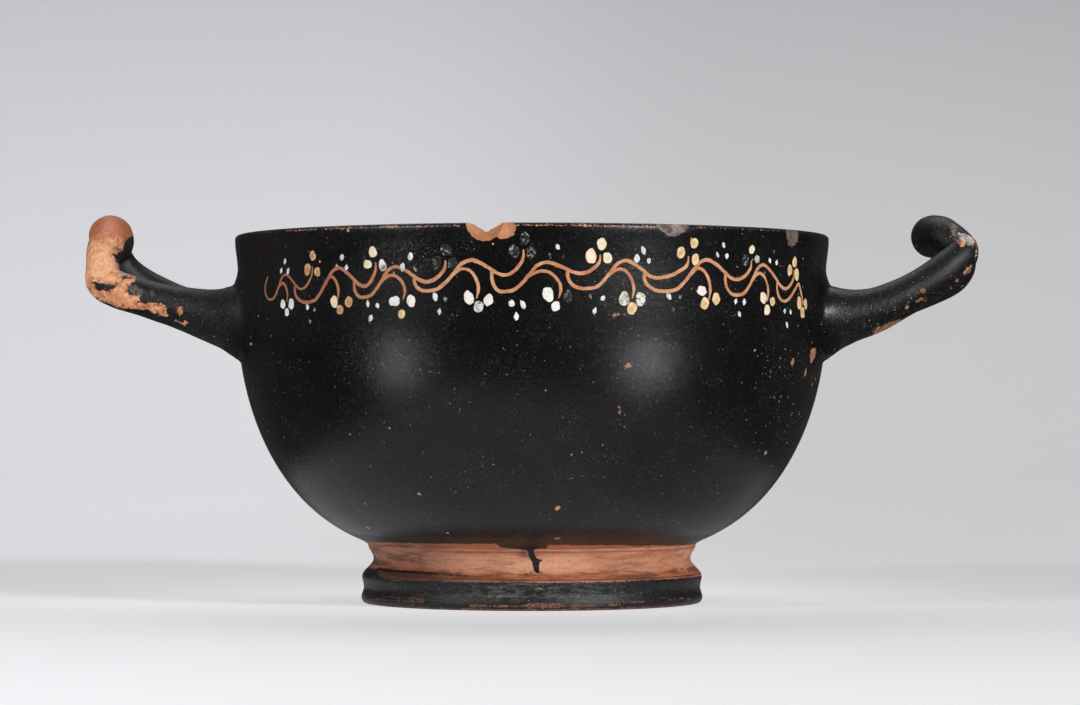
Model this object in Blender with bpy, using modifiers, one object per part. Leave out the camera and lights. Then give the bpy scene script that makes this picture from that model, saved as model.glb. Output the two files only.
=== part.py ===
"""Cup-skyphos: a black-gloss drinking cup with a deep bowl, a moulded ring foot and two recurved handles.

The cup stands on its foot at the origin, with +Z up and the handles along X. The near side is -Y.
Lengths are in metres. The bowl, the foot and the handles are one piece of fired clay.
"""

import math

import bmesh
import bpy
from mathutils import Matrix, Vector

MM = 0.001

# Driving dimensions: the bowl
RIM_HEIGHT = 86.4 * MM
BOWL_RADIUS = 69.5 * MM
BELLY_HEIGHT = 66.4 * MM
LIP_RADIUS = 70.15 * MM
LIP_ROUND = 1.0 * MM
LIP_INNER_ROUND = 2.2 * MM
LIP_FLAT = 1.1 * MM
FLARE_START = 78.0 * MM
OUTER_DEPTH = 56.3 * MM
OUTER_END = 14.7 * MM
WALL = 3.8 * MM
FLOOR_HEIGHT = 13.5 * MM
CURVE_FALL = 1.875
CURVE_SPREAD = 3.486

# Driving dimensions: the foot
JOINT_RADIUS = 38.8 * MM
JOINT_HEIGHT = 13.9 * MM
STEM_RADIUS = 37.45 * MM
STEM_HEIGHT = 10.4 * MM
UPPER_BEAD_RADIUS = 40.15 * MM
UPPER_BEAD_HEIGHT = 6.2 * MM
BAND_RADIUS = 39.75 * MM
BAND_HEIGHT = 3.7 * MM
LOWER_BEAD_RADIUS = 40.3 * MM
LOWER_BEAD_HEIGHT = 1.3 * MM
REST_OUTER_RADIUS = 39.3 * MM
REST_INNER_RADIUS = 34.4 * MM
RECESS_WALL_RADIUS = 33.6 * MM
RECESS_WALL_HEIGHT = 3.6 * MM
RECESS_RADIUS = 31.0 * MM
RECESS_HEIGHT = 7.2 * MM
RECESS_CENTRE_HEIGHT = 6.6 * MM

# Driving dimensions: the handles, as (reach from the axis, height)
ROLL_RADIUS = 4.3 * MM
BRANCH_SPREAD = 17.2 * MM
ROOT = (64.5 * MM, 64.6 * MM)
SOCKET = (69.0 * MM, 66.1 * MM)
NECK = (73.0 * MM, 67.0 * MM)
ARM = (80.0 * MM, 68.75 * MM)
ELBOW_SAG = 0.55 * MM
ROOT_RADIUS = 8.7 * MM
SOCKET_RADIUS = 7.5 * MM
NECK_RADIUS = 6.4 * MM
ARM_RADIUS = 5.2 * MM
SHOULDER_RADIUS = 3.9 * MM
CREST_RADIUS = 4.95 * MM
CORNER_SPREAD = 15.0 * MM

# The two handles were bent by hand, so each branch has its own corner and shoulder.
RIGHT_NEAR = {"corner": (97.2 * MM, 78.4 * MM), "shoulder": (100.4 * MM, 82.3 * MM)}
RIGHT_FAR = {"corner": (101.2 * MM, 77.7 * MM), "shoulder": (102.8 * MM, 80.6 * MM)}
RIGHT_CREST = (94.8 * MM, 86.5 * MM)
RIGHT_BULGE = 0.9 * MM
LEFT_NEAR = {"corner": (99.2 * MM, 75.1 * MM), "shoulder": (100.2 * MM, 80.6 * MM)}
LEFT_FAR = {"corner": (98.0 * MM, 78.1 * MM), "shoulder": (100.3 * MM, 82.8 * MM)}
LEFT_CREST = (99.9 * MM, 86.7 * MM)
LEFT_BULGE = -0.4 * MM

# Chips in the rim: azimuth from the near side in degrees, then the centre's radius and height
# and the half sizes along the rim, across the wall and up
CHIPS = {
    "rim_notch": (-8.3, 71.5 * MM, 87.5 * MM, 4.2 * MM, 6.3 * MM, 5.6 * MM),
    "rim_flake": (-5.0, 70.7 * MM, 85.4 * MM, 3.0 * MM, 1.7 * MM, 3.0 * MM),
    "rim_scar": (25.7, 70.6 * MM, 86.6 * MM, 4.4 * MM, 1.9 * MM, 2.9 * MM),
    "rim_nick": (57.2, 70.9 * MM, 86.2 * MM, 3.5 * MM, 1.8 * MM, 3.9 * MM),
}

# How far the cutter of the bowl's space stands above the rim, and starts its rounding below it
CUTTER_RISE = 3.0 * MM
OVERCUT = 0.04 * MM

# Fineness
TURN_STEPS = 60
BOWL_STEPS = 13
CAVITY_STEPS = 12
FILLET_STEPS = 4
PATH_STEPS = 3
ROLL_RESOLUTION = 4

GLOSS_COLOUR = (0.012, 0.012, 0.013, 1.0)
GLOSS_ROUGHNESS = 0.38


def clear_scene():
    for obj in list(bpy.data.objects):
        bpy.data.objects.remove(obj, do_unlink=True)


def new_collection(name):
    collection = bpy.data.collections.new(name)
    bpy.context.scene.collection.children.link(collection)
    return collection


def gloss_material():
    """The black gloss that covers the clay."""
    material = bpy.data.materials.new("black_gloss")
    material.use_nodes = True
    shader = material.node_tree.nodes["Principled BSDF"]
    shader.inputs["Base Color"].default_value = GLOSS_COLOUR
    shader.inputs["Roughness"].default_value = GLOSS_ROUGHNESS
    shader.inputs["Metallic"].default_value = 0.0
    return material


def bowl_curve(radius, depth, lowest, steps):
    """(radius, height) down the bowl from its belly to the lowest height, closer together lower down."""
    points = []
    for step in range(steps + 1):
        share = math.sin(0.5 * math.pi * step / steps)
        height = BELLY_HEIGHT - share * (BELLY_HEIGHT - lowest)
        fall = min((BELLY_HEIGHT - height) / depth, 1.0)
        points.append((radius * (1.0 - fall**CURVE_FALL) ** (1.0 / CURVE_SPREAD), height))
    return points


def eased(start, end, steps):
    """Points after the start, along an S-shaped curve that runs upright at both ends."""
    points = []
    for step in range(1, steps + 1):
        share = step / steps
        swing = 0.5 - 0.5 * math.cos(math.pi * share)
        radius = start[0] + (end[0] - start[0]) * swing
        points.append((radius, start[1] + (end[1] - start[1]) * share))
    return points


def rounded(level, upright, steps):
    """A quarter of an ellipse, from a point where it runs level to one where it runs upright."""
    points = []
    for step in range(steps + 1):
        turn = 0.5 * math.pi * step / steps
        radius = level[0] + (upright[0] - level[0]) * math.sin(turn)
        points.append((radius, upright[1] + (level[1] - upright[1]) * math.cos(turn)))
    return points


def lip_profile():
    """The rounded lip, which flares slightly from the upright wall."""
    edge = (LIP_RADIUS, RIM_HEIGHT - LIP_ROUND)
    points = rounded((LIP_RADIUS - LIP_ROUND, RIM_HEIGHT), edge, FILLET_STEPS - 1)
    return points + eased(edge, (BOWL_RADIUS, FLARE_START), FILLET_STEPS - 1)


def foot_profile():
    """The stem, the beaded foot, the ring that it rests on and the recess under it."""
    joint = (JOINT_RADIUS, JOINT_HEIGHT)
    stem = (STEM_RADIUS, STEM_HEIGHT)
    upper_bead = (UPPER_BEAD_RADIUS, UPPER_BEAD_HEIGHT)
    band = (BAND_RADIUS, BAND_HEIGHT)
    lower_bead = (LOWER_BEAD_RADIUS, LOWER_BEAD_HEIGHT)
    recess_wall = (RECESS_WALL_RADIUS, RECESS_WALL_HEIGHT)
    points = [joint]
    points += eased(joint, stem, FILLET_STEPS - 1)
    points += eased(stem, upper_bead, FILLET_STEPS + 1)
    points += eased(upper_bead, band, FILLET_STEPS - 1)
    points += eased(band, lower_bead, FILLET_STEPS - 2)
    points += rounded((REST_OUTER_RADIUS, 0.0), lower_bead, FILLET_STEPS - 1)[-2::-1]
    points.append((REST_INNER_RADIUS, 0.0))
    points += rounded((RECESS_RADIUS, RECESS_HEIGHT), recess_wall, FILLET_STEPS - 1)[::-1]
    points.append((0.0, RECESS_CENTRE_HEIGHT))
    return points


def turned(name, profile, collection):
    """A solid of revolution about Z from a profile that runs down its outer side."""
    mesh = bpy.data.meshes.new(name)
    vertices = [(radius, 0.0, height) for radius, height in profile]
    edges = [(index, index + 1) for index in range(len(profile) - 1)]
    mesh.from_pydata(vertices, edges, [])
    obj = bpy.data.objects.new(name, mesh)
    collection.objects.link(obj)
    screw = obj.modifiers.new("Turn", "SCREW")
    screw.steps = TURN_STEPS
    screw.render_steps = TURN_STEPS
    screw.use_merge_vertices = True
    screw.merge_threshold = 0.00001
    screw.use_smooth_shade = True
    return obj


def make_body(collection):
    """The cup's outside as a full solid, before it is hollowed."""
    profile = [(0.0, RIM_HEIGHT)]
    profile += lip_profile()
    profile += bowl_curve(BOWL_RADIUS, OUTER_DEPTH, OUTER_END, BOWL_STEPS)
    profile += foot_profile()
    return turned("cup_skyphos", profile, collection)


def make_cavity(collection):
    """The space inside the bowl, open above the rim, with a rounded inner lip."""
    inner = BOWL_RADIUS - WALL
    lip_inside = LIP_RADIUS - LIP_ROUND - LIP_FLAT
    lip_top = RIM_HEIGHT - OVERCUT
    lip_foot = (lip_inside - LIP_INNER_ROUND, RIM_HEIGHT - LIP_INNER_ROUND)
    profile = [(0.0, RIM_HEIGHT + CUTTER_RISE), (lip_inside, RIM_HEIGHT + CUTTER_RISE)]
    profile += rounded((lip_inside, lip_top), lip_foot, FILLET_STEPS)
    profile.append((inner, FLARE_START))
    profile += bowl_curve(inner, BELLY_HEIGHT - FLOOR_HEIGHT, FLOOR_HEIGHT, CAVITY_STEPS)
    return turned("bowl_space", profile, collection)


def between(start, end, share, bulge=0.0):
    """A point part of the way between two (reach, height) points, pushed sideways by the bulge."""
    run = end[0] - start[0], end[1] - start[1]
    length = math.hypot(*run)
    return (
        start[0] + share * run[0] + bulge * run[1] / length,
        start[1] + share * run[1] - bulge * run[0] / length,
    )


def branch_stations(branch, crest, bulge, side, depth_side):
    """Stations (x, y, z, radius) of one branch, from inside the wall to beside the crest.

    Past the corner the loop closes along a quarter of an ellipse, which is curled up and inward.
    """
    corner = branch["corner"]
    shoulder = branch["shoulder"]
    elbow = between(ARM, corner, 0.5, ELBOW_SAG)
    temple = between(shoulder, crest, 0.73, bulge)
    stations = [
        (ROOT, 0.93 * BRANCH_SPREAD, ROOT_RADIUS),
        (SOCKET, 0.95 * BRANCH_SPREAD, SOCKET_RADIUS),
        (NECK, 0.98 * BRANCH_SPREAD, NECK_RADIUS),
        (ARM, BRANCH_SPREAD, ARM_RADIUS),
        (elbow, 0.98 * BRANCH_SPREAD, ROLL_RADIUS),
        (corner, CORNER_SPREAD, ROLL_RADIUS),
        (shoulder, CORNER_SPREAD * math.cos(math.radians(30.0)), SHOULDER_RADIUS),
        (temple, CORNER_SPREAD * math.cos(math.radians(60.0)), 0.5 * (SHOULDER_RADIUS + CREST_RADIUS)),
    ]
    return [
        Vector((side * reach, depth_side * spread, height, radius))
        for (reach, height), spread, radius in stations
    ]


def smooth_path(stations, steps):
    """Points on a centripetal Catmull-Rom spline through the stations."""
    ends = [2.0 * stations[0] - stations[1]], [2.0 * stations[-1] - stations[-2]]
    knots = ends[0] + stations + ends[1]
    points = [stations[0]]
    for p0, p1, p2, p3 in zip(knots, knots[1:], knots[2:], knots[3:]):
        t1 = (p1 - p0).length ** 0.5
        t2 = t1 + (p2 - p1).length ** 0.5
        t3 = t2 + (p3 - p2).length ** 0.5
        for step in range(1, steps + 1):
            t = t1 + (t2 - t1) * step / steps
            a1 = p0.lerp(p1, t / t1)
            a2 = p1.lerp(p2, (t - t1) / (t2 - t1))
            a3 = p2.lerp(p3, (t - t2) / (t3 - t2))
            b1 = a1.lerp(a2, t / t2)
            b2 = a2.lerp(a3, (t - t1) / (t3 - t1))
            points.append(b1.lerp(b2, (t - t1) / (t2 - t1)))
    return points


def make_handle(name, side, near, far, crest, bulge, collection):
    """A horseshoe handle: two branches that rise outward, and a crossbar curled up and in."""
    near_branch = branch_stations(near, crest, bulge, side, -1.0)
    far_branch = branch_stations(far, crest, bulge, side, 1.0)
    crest_station = Vector((side * crest[0], 0.0, crest[1], CREST_RADIUS))
    path = smooth_path(near_branch + [crest_station] + far_branch[::-1], PATH_STEPS)
    curve = bpy.data.curves.new(name + "_path", "CURVE")
    curve.dimensions = "3D"
    curve.bevel_depth = ROLL_RADIUS
    curve.bevel_resolution = ROLL_RESOLUTION
    curve.use_fill_caps = True
    spline = curve.splines.new("POLY")
    spline.points.add(len(path) - 1)
    for point, (x, y, z, radius) in zip(spline.points, path):
        point.co = (x, y, z, 1.0)
        point.radius = radius / ROLL_RADIUS
    guide = bpy.data.objects.new(name + "_path", curve)
    collection.objects.link(guide)
    return closed_mesh_from(guide, name, collection)


def closed_mesh_from(guide, name, collection):
    """A mesh object in place of a bevelled curve, with its end caps welded on."""
    graph = bpy.context.evaluated_depsgraph_get()
    mesh = bpy.data.meshes.new_from_object(guide.evaluated_get(graph))
    welded = bmesh.new()
    welded.from_mesh(mesh)
    bmesh.ops.remove_doubles(welded, verts=welded.verts, dist=0.01 * MM)
    bmesh.ops.recalc_face_normals(welded, faces=welded.faces)
    welded.to_mesh(mesh)
    welded.free()
    mesh.shade_smooth()
    obj = bpy.data.objects.new(name, mesh)
    obj.matrix_world = guide.matrix_world
    collection.objects.link(obj)
    bpy.data.objects.remove(guide, do_unlink=True)
    return obj


def make_chip(name, shape, collection):
    """A shell-shaped scoop that breaks a chip out of the rim."""
    azimuth, radius, height, half_width, half_depth, half_height = shape
    turn = math.radians(azimuth)
    bpy.ops.mesh.primitive_ico_sphere_add(subdivisions=2, radius=1.0)
    obj = bpy.context.active_object
    obj.name = name
    for owner in list(obj.users_collection):
        owner.objects.unlink(obj)
    collection.objects.link(obj)
    obj.data.transform(Matrix.Diagonal((half_width, half_depth, half_height, 1.0)))
    obj.location = (radius * math.sin(turn), -radius * math.cos(turn), height)
    obj.rotation_euler = (0.0, 0.0, turn)
    return obj


def add_boolean(body, helper, operation):
    """Joins the helper to the body or cuts it out, and keeps the helper out of sight."""
    helper.hide_render = True
    helper.display_type = "WIRE"
    modifier = body.modifiers.new(helper.name, "BOOLEAN")
    modifier.operation = operation
    modifier.solver = "EXACT"
    modifier.object = helper


def main():
    clear_scene()
    parts = new_collection("cup-skyphos")
    helpers = new_collection("Cutters")
    body = make_body(parts)
    body.data.materials.append(gloss_material())
    right = (RIGHT_NEAR, RIGHT_FAR, RIGHT_CREST, RIGHT_BULGE)
    left = (LEFT_NEAR, LEFT_FAR, LEFT_CREST, LEFT_BULGE)
    for name, side, shape in (("handle_right", 1.0, right), ("handle_left", -1.0, left)):
        add_boolean(body, make_handle(name, side, *shape, helpers), "UNION")
    add_boolean(body, make_cavity(helpers), "DIFFERENCE")
    for name, shape in CHIPS.items():
        add_boolean(body, make_chip(name, shape, helpers), "DIFFERENCE")
    body.modifiers.new("Shading", "WEIGHTED_NORMAL")


main()
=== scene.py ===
"""A black-gloss cup-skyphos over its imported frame: one fired-clay piece, and the painted garland laid on it.

Lengths in the tables below are millimetres and angles are degrees. An azimuth is counted from -Y, the chipped
side of the rim, and grows towards +X.
"""

import math
import random

import bmesh
import bpy
import numpy as np
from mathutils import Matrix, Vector, noise


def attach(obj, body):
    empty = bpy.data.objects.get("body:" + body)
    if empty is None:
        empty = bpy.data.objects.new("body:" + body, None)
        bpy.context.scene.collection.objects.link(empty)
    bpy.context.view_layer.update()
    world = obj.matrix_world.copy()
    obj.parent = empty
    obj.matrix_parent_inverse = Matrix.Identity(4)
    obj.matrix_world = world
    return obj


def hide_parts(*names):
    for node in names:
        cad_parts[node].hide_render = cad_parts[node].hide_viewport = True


MM = 0.001

# The same driving sizes as the solid.
RIM_HEIGHT = 86.4
BOWL_RADIUS = 69.5
BELLY_HEIGHT = 66.4
LIP_RADIUS = 70.15
LIP_ROUND = 1.0
LIP_INNER_ROUND = 2.2
LIP_FLAT = 1.1
FLARE_START = 78.0
OUTER_DEPTH = 56.3
OUTER_END = 14.7
WALL = 3.8
FLOOR_HEIGHT = 13.5
CURVE_FALL = 1.875
CURVE_SPREAD = 3.486
JOINT = (38.8, 13.9)
STEM = (37.45, 10.4)
UPPER_BEAD = (40.15, 6.2)
BAND = (39.75, 3.7)
LOWER_BEAD = (40.3, 1.3)
REST_OUTER_RADIUS = 39.3
REST_INNER_RADIUS = 34.4
RECESS_WALL = (33.6, 3.6)
RECESS_RADIUS = 31.0
RECESS_HEIGHT = 7.2
RECESS_CENTRE_HEIGHT = 6.6

ROLL_RADIUS = 4.3
BRANCH_SPREAD = 17.2
ROOT = (64.5, 64.6)
SOCKET = (69.0, 66.1)
NECK = (73.0, 67.0)
ARM = (80.0, 68.75)
ELBOW_SAG = 0.55
ROOT_RADIUS = 8.7
SOCKET_RADIUS = 7.5
NECK_RADIUS = 6.4
ARM_RADIUS = 5.2
SHOULDER_RADIUS = 3.9
CREST_RADIUS = 4.95
CORNER_SPREAD = 15.0
# Each handle: its side, the corner and the shoulder of its near branch and of its far branch, its crest, and how
# far the line swells before the crest.
RIGHT_HANDLE = (1.0, ((97.2, 78.4), (100.4, 82.3)), ((101.2, 77.7), (102.8, 80.6)), (94.8, 86.5), 0.9)
LEFT_HANDLE = (-1.0, ((99.2, 75.1), (100.2, 80.6)), ((98.0, 78.1), (100.3, 82.8)), (99.9, 86.7), -0.4)

# Azimuth, distance of the centre from the axis, its height, half width, half depth, half height and roughness.
CHIPS = {
    "rim_notch": (-8.4, 71.5, 87.5, 4.5, 6.4, 5.4, 0.11),
    "rim_flake": (-5.0, 70.7, 85.4, 3.0, 1.7, 3.0, 0.18),
    "rim_scar": (26.4, 70.7, 86.6, 4.4, 1.9, 2.9, 0.18),
    "rim_nick": (57.5, 70.9, 86.1, 3.2, 1.8, 4.3, 0.18),
}
OLD_BREAKS = ("rim_scar", "rim_nick")

# How fine the meshes are, and the hand-made softness of the joins.
TURN_STEPS = 360
CAVITY_TURN_STEPS = 216
BOWL_STEPS = 84
CAVITY_STEPS = 54
ROUND_STEPS = 7
PATH_STEPS = 16
TUBE_STEPS = 44
UPPER_FILLET = 8.0
LOWER_FILLET = 2.6
# The zone round the handle roots: how far to the side and from the axis it starts, its middle height, half height.
ROOT_ZONE = (50.0, 60.0, 66.0, 19.5)
SEAM_ROUNDS = 8
# Edges sharper than this, in degrees, stay crisp.
CUP_CREASE = 38
SLIP_CREASE = 50

random.seed(4)


# ---------------------------------------------------------------- shape


def along(start, end, shares):
    """Points between two corners, each given by its share across and its share up."""
    return [(start[0] + (end[0] - start[0]) * a, start[1] + (end[1] - start[1]) * b) for a, b in shares]


def straight(start, end, steps):
    """Points after the start, up to the end."""
    (x0, y0), (x1, y1) = start, end
    return [(x0 + (x1 - x0) * step / steps, y0 + (y1 - y0) * step / steps) for step in range(1, steps + 1)]


def eased(start, end, steps):
    """The same, on a curve that leaves and arrives upright."""
    shares = [step / steps for step in range(1, steps + 1)]
    return along(start, end, [(0.5 - 0.5 * math.cos(math.pi * share), share) for share in shares])


def bowl_curve(radius, depth, lowest, steps):
    """The belly, from its full width down to the lowest height."""
    points = []
    for step in range(steps + 1):
        height = BELLY_HEIGHT - math.sin(0.5 * math.pi * step / steps) * (BELLY_HEIGHT - lowest)
        fall = min((BELLY_HEIGHT - height) / depth, 1.0)
        points.append((radius * (1.0 - fall**CURVE_FALL) ** (1.0 / CURVE_SPREAD), height))
    return points


def rounded(level, upright, steps):
    """A quarter of an ellipse, from its level end to its upright end."""
    points = []
    for step in range(steps + 1):
        turn = 0.5 * math.pi * step / steps
        radius = level[0] + (upright[0] - level[0]) * math.sin(turn)
        points.append((radius, upright[1] + (level[1] - upright[1]) * math.cos(turn)))
    return points


def outer_profile():
    """Lip, bowl, foot and recess, from the top of the lip down to the axis underneath."""
    edge = (LIP_RADIUS, RIM_HEIGHT - LIP_ROUND)
    points = rounded((LIP_RADIUS - LIP_ROUND, RIM_HEIGHT), edge, ROUND_STEPS)
    points += eased(edge, (BOWL_RADIUS, FLARE_START), ROUND_STEPS)
    points += straight((BOWL_RADIUS, FLARE_START), (BOWL_RADIUS, BELLY_HEIGHT), ROUND_STEPS)[:-1]
    points += bowl_curve(BOWL_RADIUS, OUTER_DEPTH, OUTER_END, BOWL_STEPS)
    points.append(JOINT)
    points += eased(JOINT, STEM, ROUND_STEPS)
    points += eased(STEM, UPPER_BEAD, ROUND_STEPS + 3)
    points += eased(UPPER_BEAD, BAND, ROUND_STEPS)
    points += eased(BAND, LOWER_BEAD, ROUND_STEPS)
    points += rounded((REST_OUTER_RADIUS, 0.0), LOWER_BEAD, ROUND_STEPS)[-2::-1]
    points.append((REST_INNER_RADIUS, 0.0))
    points += rounded((RECESS_RADIUS, RECESS_HEIGHT), RECESS_WALL, ROUND_STEPS)[::-1]
    points += straight((RECESS_RADIUS, RECESS_HEIGHT), (0.0, RECESS_CENTRE_HEIGHT), 12)
    return points


def inner_profile():
    """The hollow, from above the rim down to the axis on its floor."""
    inner = BOWL_RADIUS - WALL
    lip_inside = LIP_RADIUS - LIP_ROUND - LIP_FLAT
    lip_foot = (lip_inside - LIP_INNER_ROUND, RIM_HEIGHT - LIP_INNER_ROUND)
    points = [(lip_inside, RIM_HEIGHT + 3.0)]
    points += rounded((lip_inside, RIM_HEIGHT - 0.04), lip_foot, ROUND_STEPS)
    points += straight(lip_foot, (inner, FLARE_START), 4)
    points += straight((inner, FLARE_START), (inner, BELLY_HEIGHT), 6)[:-1]
    points += bowl_curve(inner, BELLY_HEIGHT - FLOOR_HEIGHT, FLOOR_HEIGHT, CAVITY_STEPS)
    return points


OUTER = outer_profile()
INNER = inner_profile()
OUTER_LINE = np.array([point for point in OUTER if point[1] > 12.0 and point[0] > 30.0])


def radius_at(line, heights):
    """The radius of a profile that runs downwards, at the given heights."""
    return np.interp(heights, line[::-1, 1], line[::-1, 0])


def place(azimuth, radius, height):
    turn = math.radians(azimuth)
    return Vector((radius * math.sin(turn), -radius * math.cos(turn), height))


def between(start, end, share, swell):
    """A point between two corners, moved out to the side."""
    run = end[0] - start[0], end[1] - start[1]
    length = math.hypot(*run)
    outward = run[1] / length, -run[0] / length
    return tuple(start[axis] + share * run[axis] + swell * outward[axis] for axis in (0, 1))


def branch_stations(branch, crest, swell, side, depth_side):
    """The centre line of one branch, with its radius in place of a fourth coordinate."""
    corner, shoulder = branch
    temple_radius = 0.5 * (SHOULDER_RADIUS + CREST_RADIUS)
    stations = [
        (ROOT, 0.93 * BRANCH_SPREAD, ROOT_RADIUS),
        (SOCKET, 0.95 * BRANCH_SPREAD, SOCKET_RADIUS),
        (NECK, 0.98 * BRANCH_SPREAD, NECK_RADIUS),
        (ARM, BRANCH_SPREAD, ARM_RADIUS),
        (between(ARM, corner, 0.5, ELBOW_SAG), 0.98 * BRANCH_SPREAD, ROLL_RADIUS),
        (corner, CORNER_SPREAD, ROLL_RADIUS),
        (shoulder, CORNER_SPREAD * math.cos(math.radians(30)), SHOULDER_RADIUS),
        (between(shoulder, crest, 0.73, swell), CORNER_SPREAD * math.cos(math.radians(60)), temple_radius),
    ]
    return [
        Vector((side * reach, depth_side * spread, height, radius))
        for (reach, height), spread, radius in stations
    ]


def smooth_path(stations, steps):
    """Points on a centripetal Catmull-Rom spline through the stations."""
    knots = [2.0 * stations[0] - stations[1], *stations, 2.0 * stations[-1] - stations[-2]]
    points = [stations[0]]
    for p0, p1, p2, p3 in zip(knots, knots[1:], knots[2:], knots[3:]):
        t1 = (p1 - p0).length ** 0.5
        t2 = t1 + (p2 - p1).length ** 0.5
        t3 = t2 + (p3 - p2).length ** 0.5
        for step in range(1, steps + 1):
            t = t1 + (t2 - t1) * step / steps
            a1 = p0.lerp(p1, t / t1)
            a2 = p1.lerp(p2, (t - t1) / (t2 - t1))
            a3 = p2.lerp(p3, (t - t2) / (t3 - t2))
            b1 = a1.lerp(a2, t / t2)
            b2 = a2.lerp(a3, (t - t1) / (t3 - t1))
            points.append(b1.lerp(b2, (t - t1) / (t2 - t1)))
    return points


def handle_path(side, near, far, crest, swell):
    near_branch = branch_stations(near, crest, swell, side, -1.0)
    far_branch = branch_stations(far, crest, swell, side, 1.0)
    crest_station = Vector((side * crest[0], 0.0, crest[1], CREST_RADIUS))
    return np.array(smooth_path([*near_branch, crest_station, *far_branch[::-1]], PATH_STEPS))


RIGHT_PATH = handle_path(*RIGHT_HANDLE)
LEFT_PATH = handle_path(*LEFT_HANDLE)
BOTH_PATHS = np.vstack([RIGHT_PATH, LEFT_PATH])


def ring_faces(first, around):
    """Quads between a ring of points and the next one."""
    there = first + around
    pairs = [(step, (step + 1) % around) for step in range(around)]
    return [(first + here, first + after, there + after, there + here) for here, after in pairs]


def closed_faces(first, around, rings):
    """The faces of a closed shape whose rings are followed by the points that close its start and its end."""
    faces = []
    for ring in range(rings - 1):
        faces += ring_faces(first + ring * around, around)
    last, start, end = first + (rings - 1) * around, first + rings * around, first + rings * around + 1
    for here in range(around):
        after = (here + 1) % around
        faces += [(start, first + after, first + here), (end, last + here, last + after)]
    return faces


def turned_mesh(profile, steps):
    """Points and faces of a closed turned solid. Its profile ends on the axis, and a cap closes its top."""
    rings = profile[:-1]
    turns = np.linspace(0.0, 2.0 * math.pi, steps, endpoint=False)
    points = [(0.0, 0.0, profile[0][1])]
    for radius, height in rings:
        points += [(radius * math.cos(turn), radius * math.sin(turn), height) for turn in turns]
    points.append((0.0, 0.0, profile[-1][1]))
    last = len(points) - 1
    faces = []
    for side in range(steps):
        after = (side + 1) % steps
        faces.append((0, 1 + side, 1 + after))
        for ring in range(len(rings) - 1):
            here, below = 1 + ring * steps, 1 + (ring + 1) * steps
            faces.append((here + side, below + side, below + after, here + after))
        bottom = 1 + (len(rings) - 1) * steps
        faces.append((last, bottom + after, bottom + side))
    return np.array(points), faces


def swept_mesh(path, steps):
    """Points and faces of a closed round tube along a path of points with radii."""
    centres, radii = path[:, :3], path[:, 3]
    run = np.gradient(centres, axis=0)
    run /= np.linalg.norm(run, axis=1)[:, None]
    turns = [2.0 * math.pi * step / steps for step in range(steps)]
    across = np.cross(run[0], (0.0, 0.0, 1.0))
    points = []
    for centre, radius, way in zip(centres, radii, run):
        across = across - way * across.dot(way)
        across /= np.linalg.norm(across)
        upward = np.cross(way, across)
        points += [centre + radius * (math.cos(turn) * across + math.sin(turn) * upward) for turn in turns]
    return np.array([*points, centres[0], centres[-1]]), closed_faces(0, steps, len(path))


def distance_to_line(points, line):
    """Shortest distance from flat points to a polyline."""
    nearest = np.full(len(points), 1e9)
    for start, end in zip(line, line[1:]):
        run = end - start
        length = run.dot(run)
        if length > 1e-12:
            share = np.clip((points - start) @ run / length, 0.0, 1.0)
            nearest = np.minimum(nearest, np.linalg.norm(points - start - share[:, None] * run, axis=1))
    return nearest


def distance_to_body(points):
    """Signed distance to the turned outside, for points above the foot."""
    reach, height = np.hypot(points[:, 0], points[:, 1]), points[:, 2]
    gap = distance_to_line(np.stack([reach, height], axis=1), OUTER_LINE)
    return np.where((reach < radius_at(OUTER_LINE, height)) & (height < RIM_HEIGHT), -gap, gap)


def distance_to_path(points, path):
    """Signed distance to a tube's skin, and the nearest point of its centre line."""
    gaps = np.linalg.norm(points[:, None, :] - path[None, :, :3], axis=2) - path[None, :, 3]
    nearest = gaps.argmin(axis=1)
    return gaps[np.arange(len(points)), nearest], path[nearest, :3]


def smooth_step(low, high, value):
    share = np.clip((value - low) / (high - low), 0.0, 1.0)
    return share * share * (3.0 - 2.0 * share)


def fade(low, high, value):
    return 1.0 - smooth_step(low, high, value)


def fillet_reach(heights):
    return LOWER_FILLET + (UPPER_FILLET - LOWER_FILLET) * smooth_step(60.0, 71.0, heights)


def fillet_lift(gap, heights):
    """How far the skin swells out at a gap from the other shape."""
    reach = fillet_reach(heights)
    near = np.clip((reach - np.maximum(gap, 0.0)) / reach, 0.0, 1.0)
    return near * near * reach * 0.25


def near_roots(points):
    """The points round the places where the handles leave the bowl."""
    side, reach, middle, half = ROOT_ZONE
    near = (np.abs(points[:, 0]) > side) & (np.abs(points[:, 2] - middle) < half)
    return near & (np.hypot(points[:, 0], points[:, 1]) > reach)


def lumps(points, size, seed):
    """Smooth noise from about -1 to 1, one value a point."""
    shift = Vector((seed, 2.0 * seed, 3.0 * seed))
    return np.array([noise.noise(Vector(point) / size + shift) for point in points])


def linked(name, data):
    """A new object in the scene."""
    thing = bpy.data.objects.new(name, data)
    bpy.context.scene.collection.objects.link(thing)
    return thing


def object_from(name, points, faces, material):
    mesh = bpy.data.meshes.new(name)
    mesh.from_pydata((np.asarray(points) * MM).tolist(), [], faces)
    mesh.materials.append(material)
    mesh.update()
    return linked(name, mesh)


def turned_body(material):
    """The turned outside, swelling towards the handle roots."""
    points, faces = turned_mesh(OUTER, TURN_STEPS)
    near = near_roots(points)
    some = points[near]
    gap, _ = distance_to_path(some, BOTH_PATHS)
    outward = some * (1.0, 1.0, 0.0)
    outward /= np.linalg.norm(outward, axis=1)[:, None]
    points[near] = some + outward * fillet_lift(gap, some[:, 2])[:, None]
    return object_from("body", points, faces, material)


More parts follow.
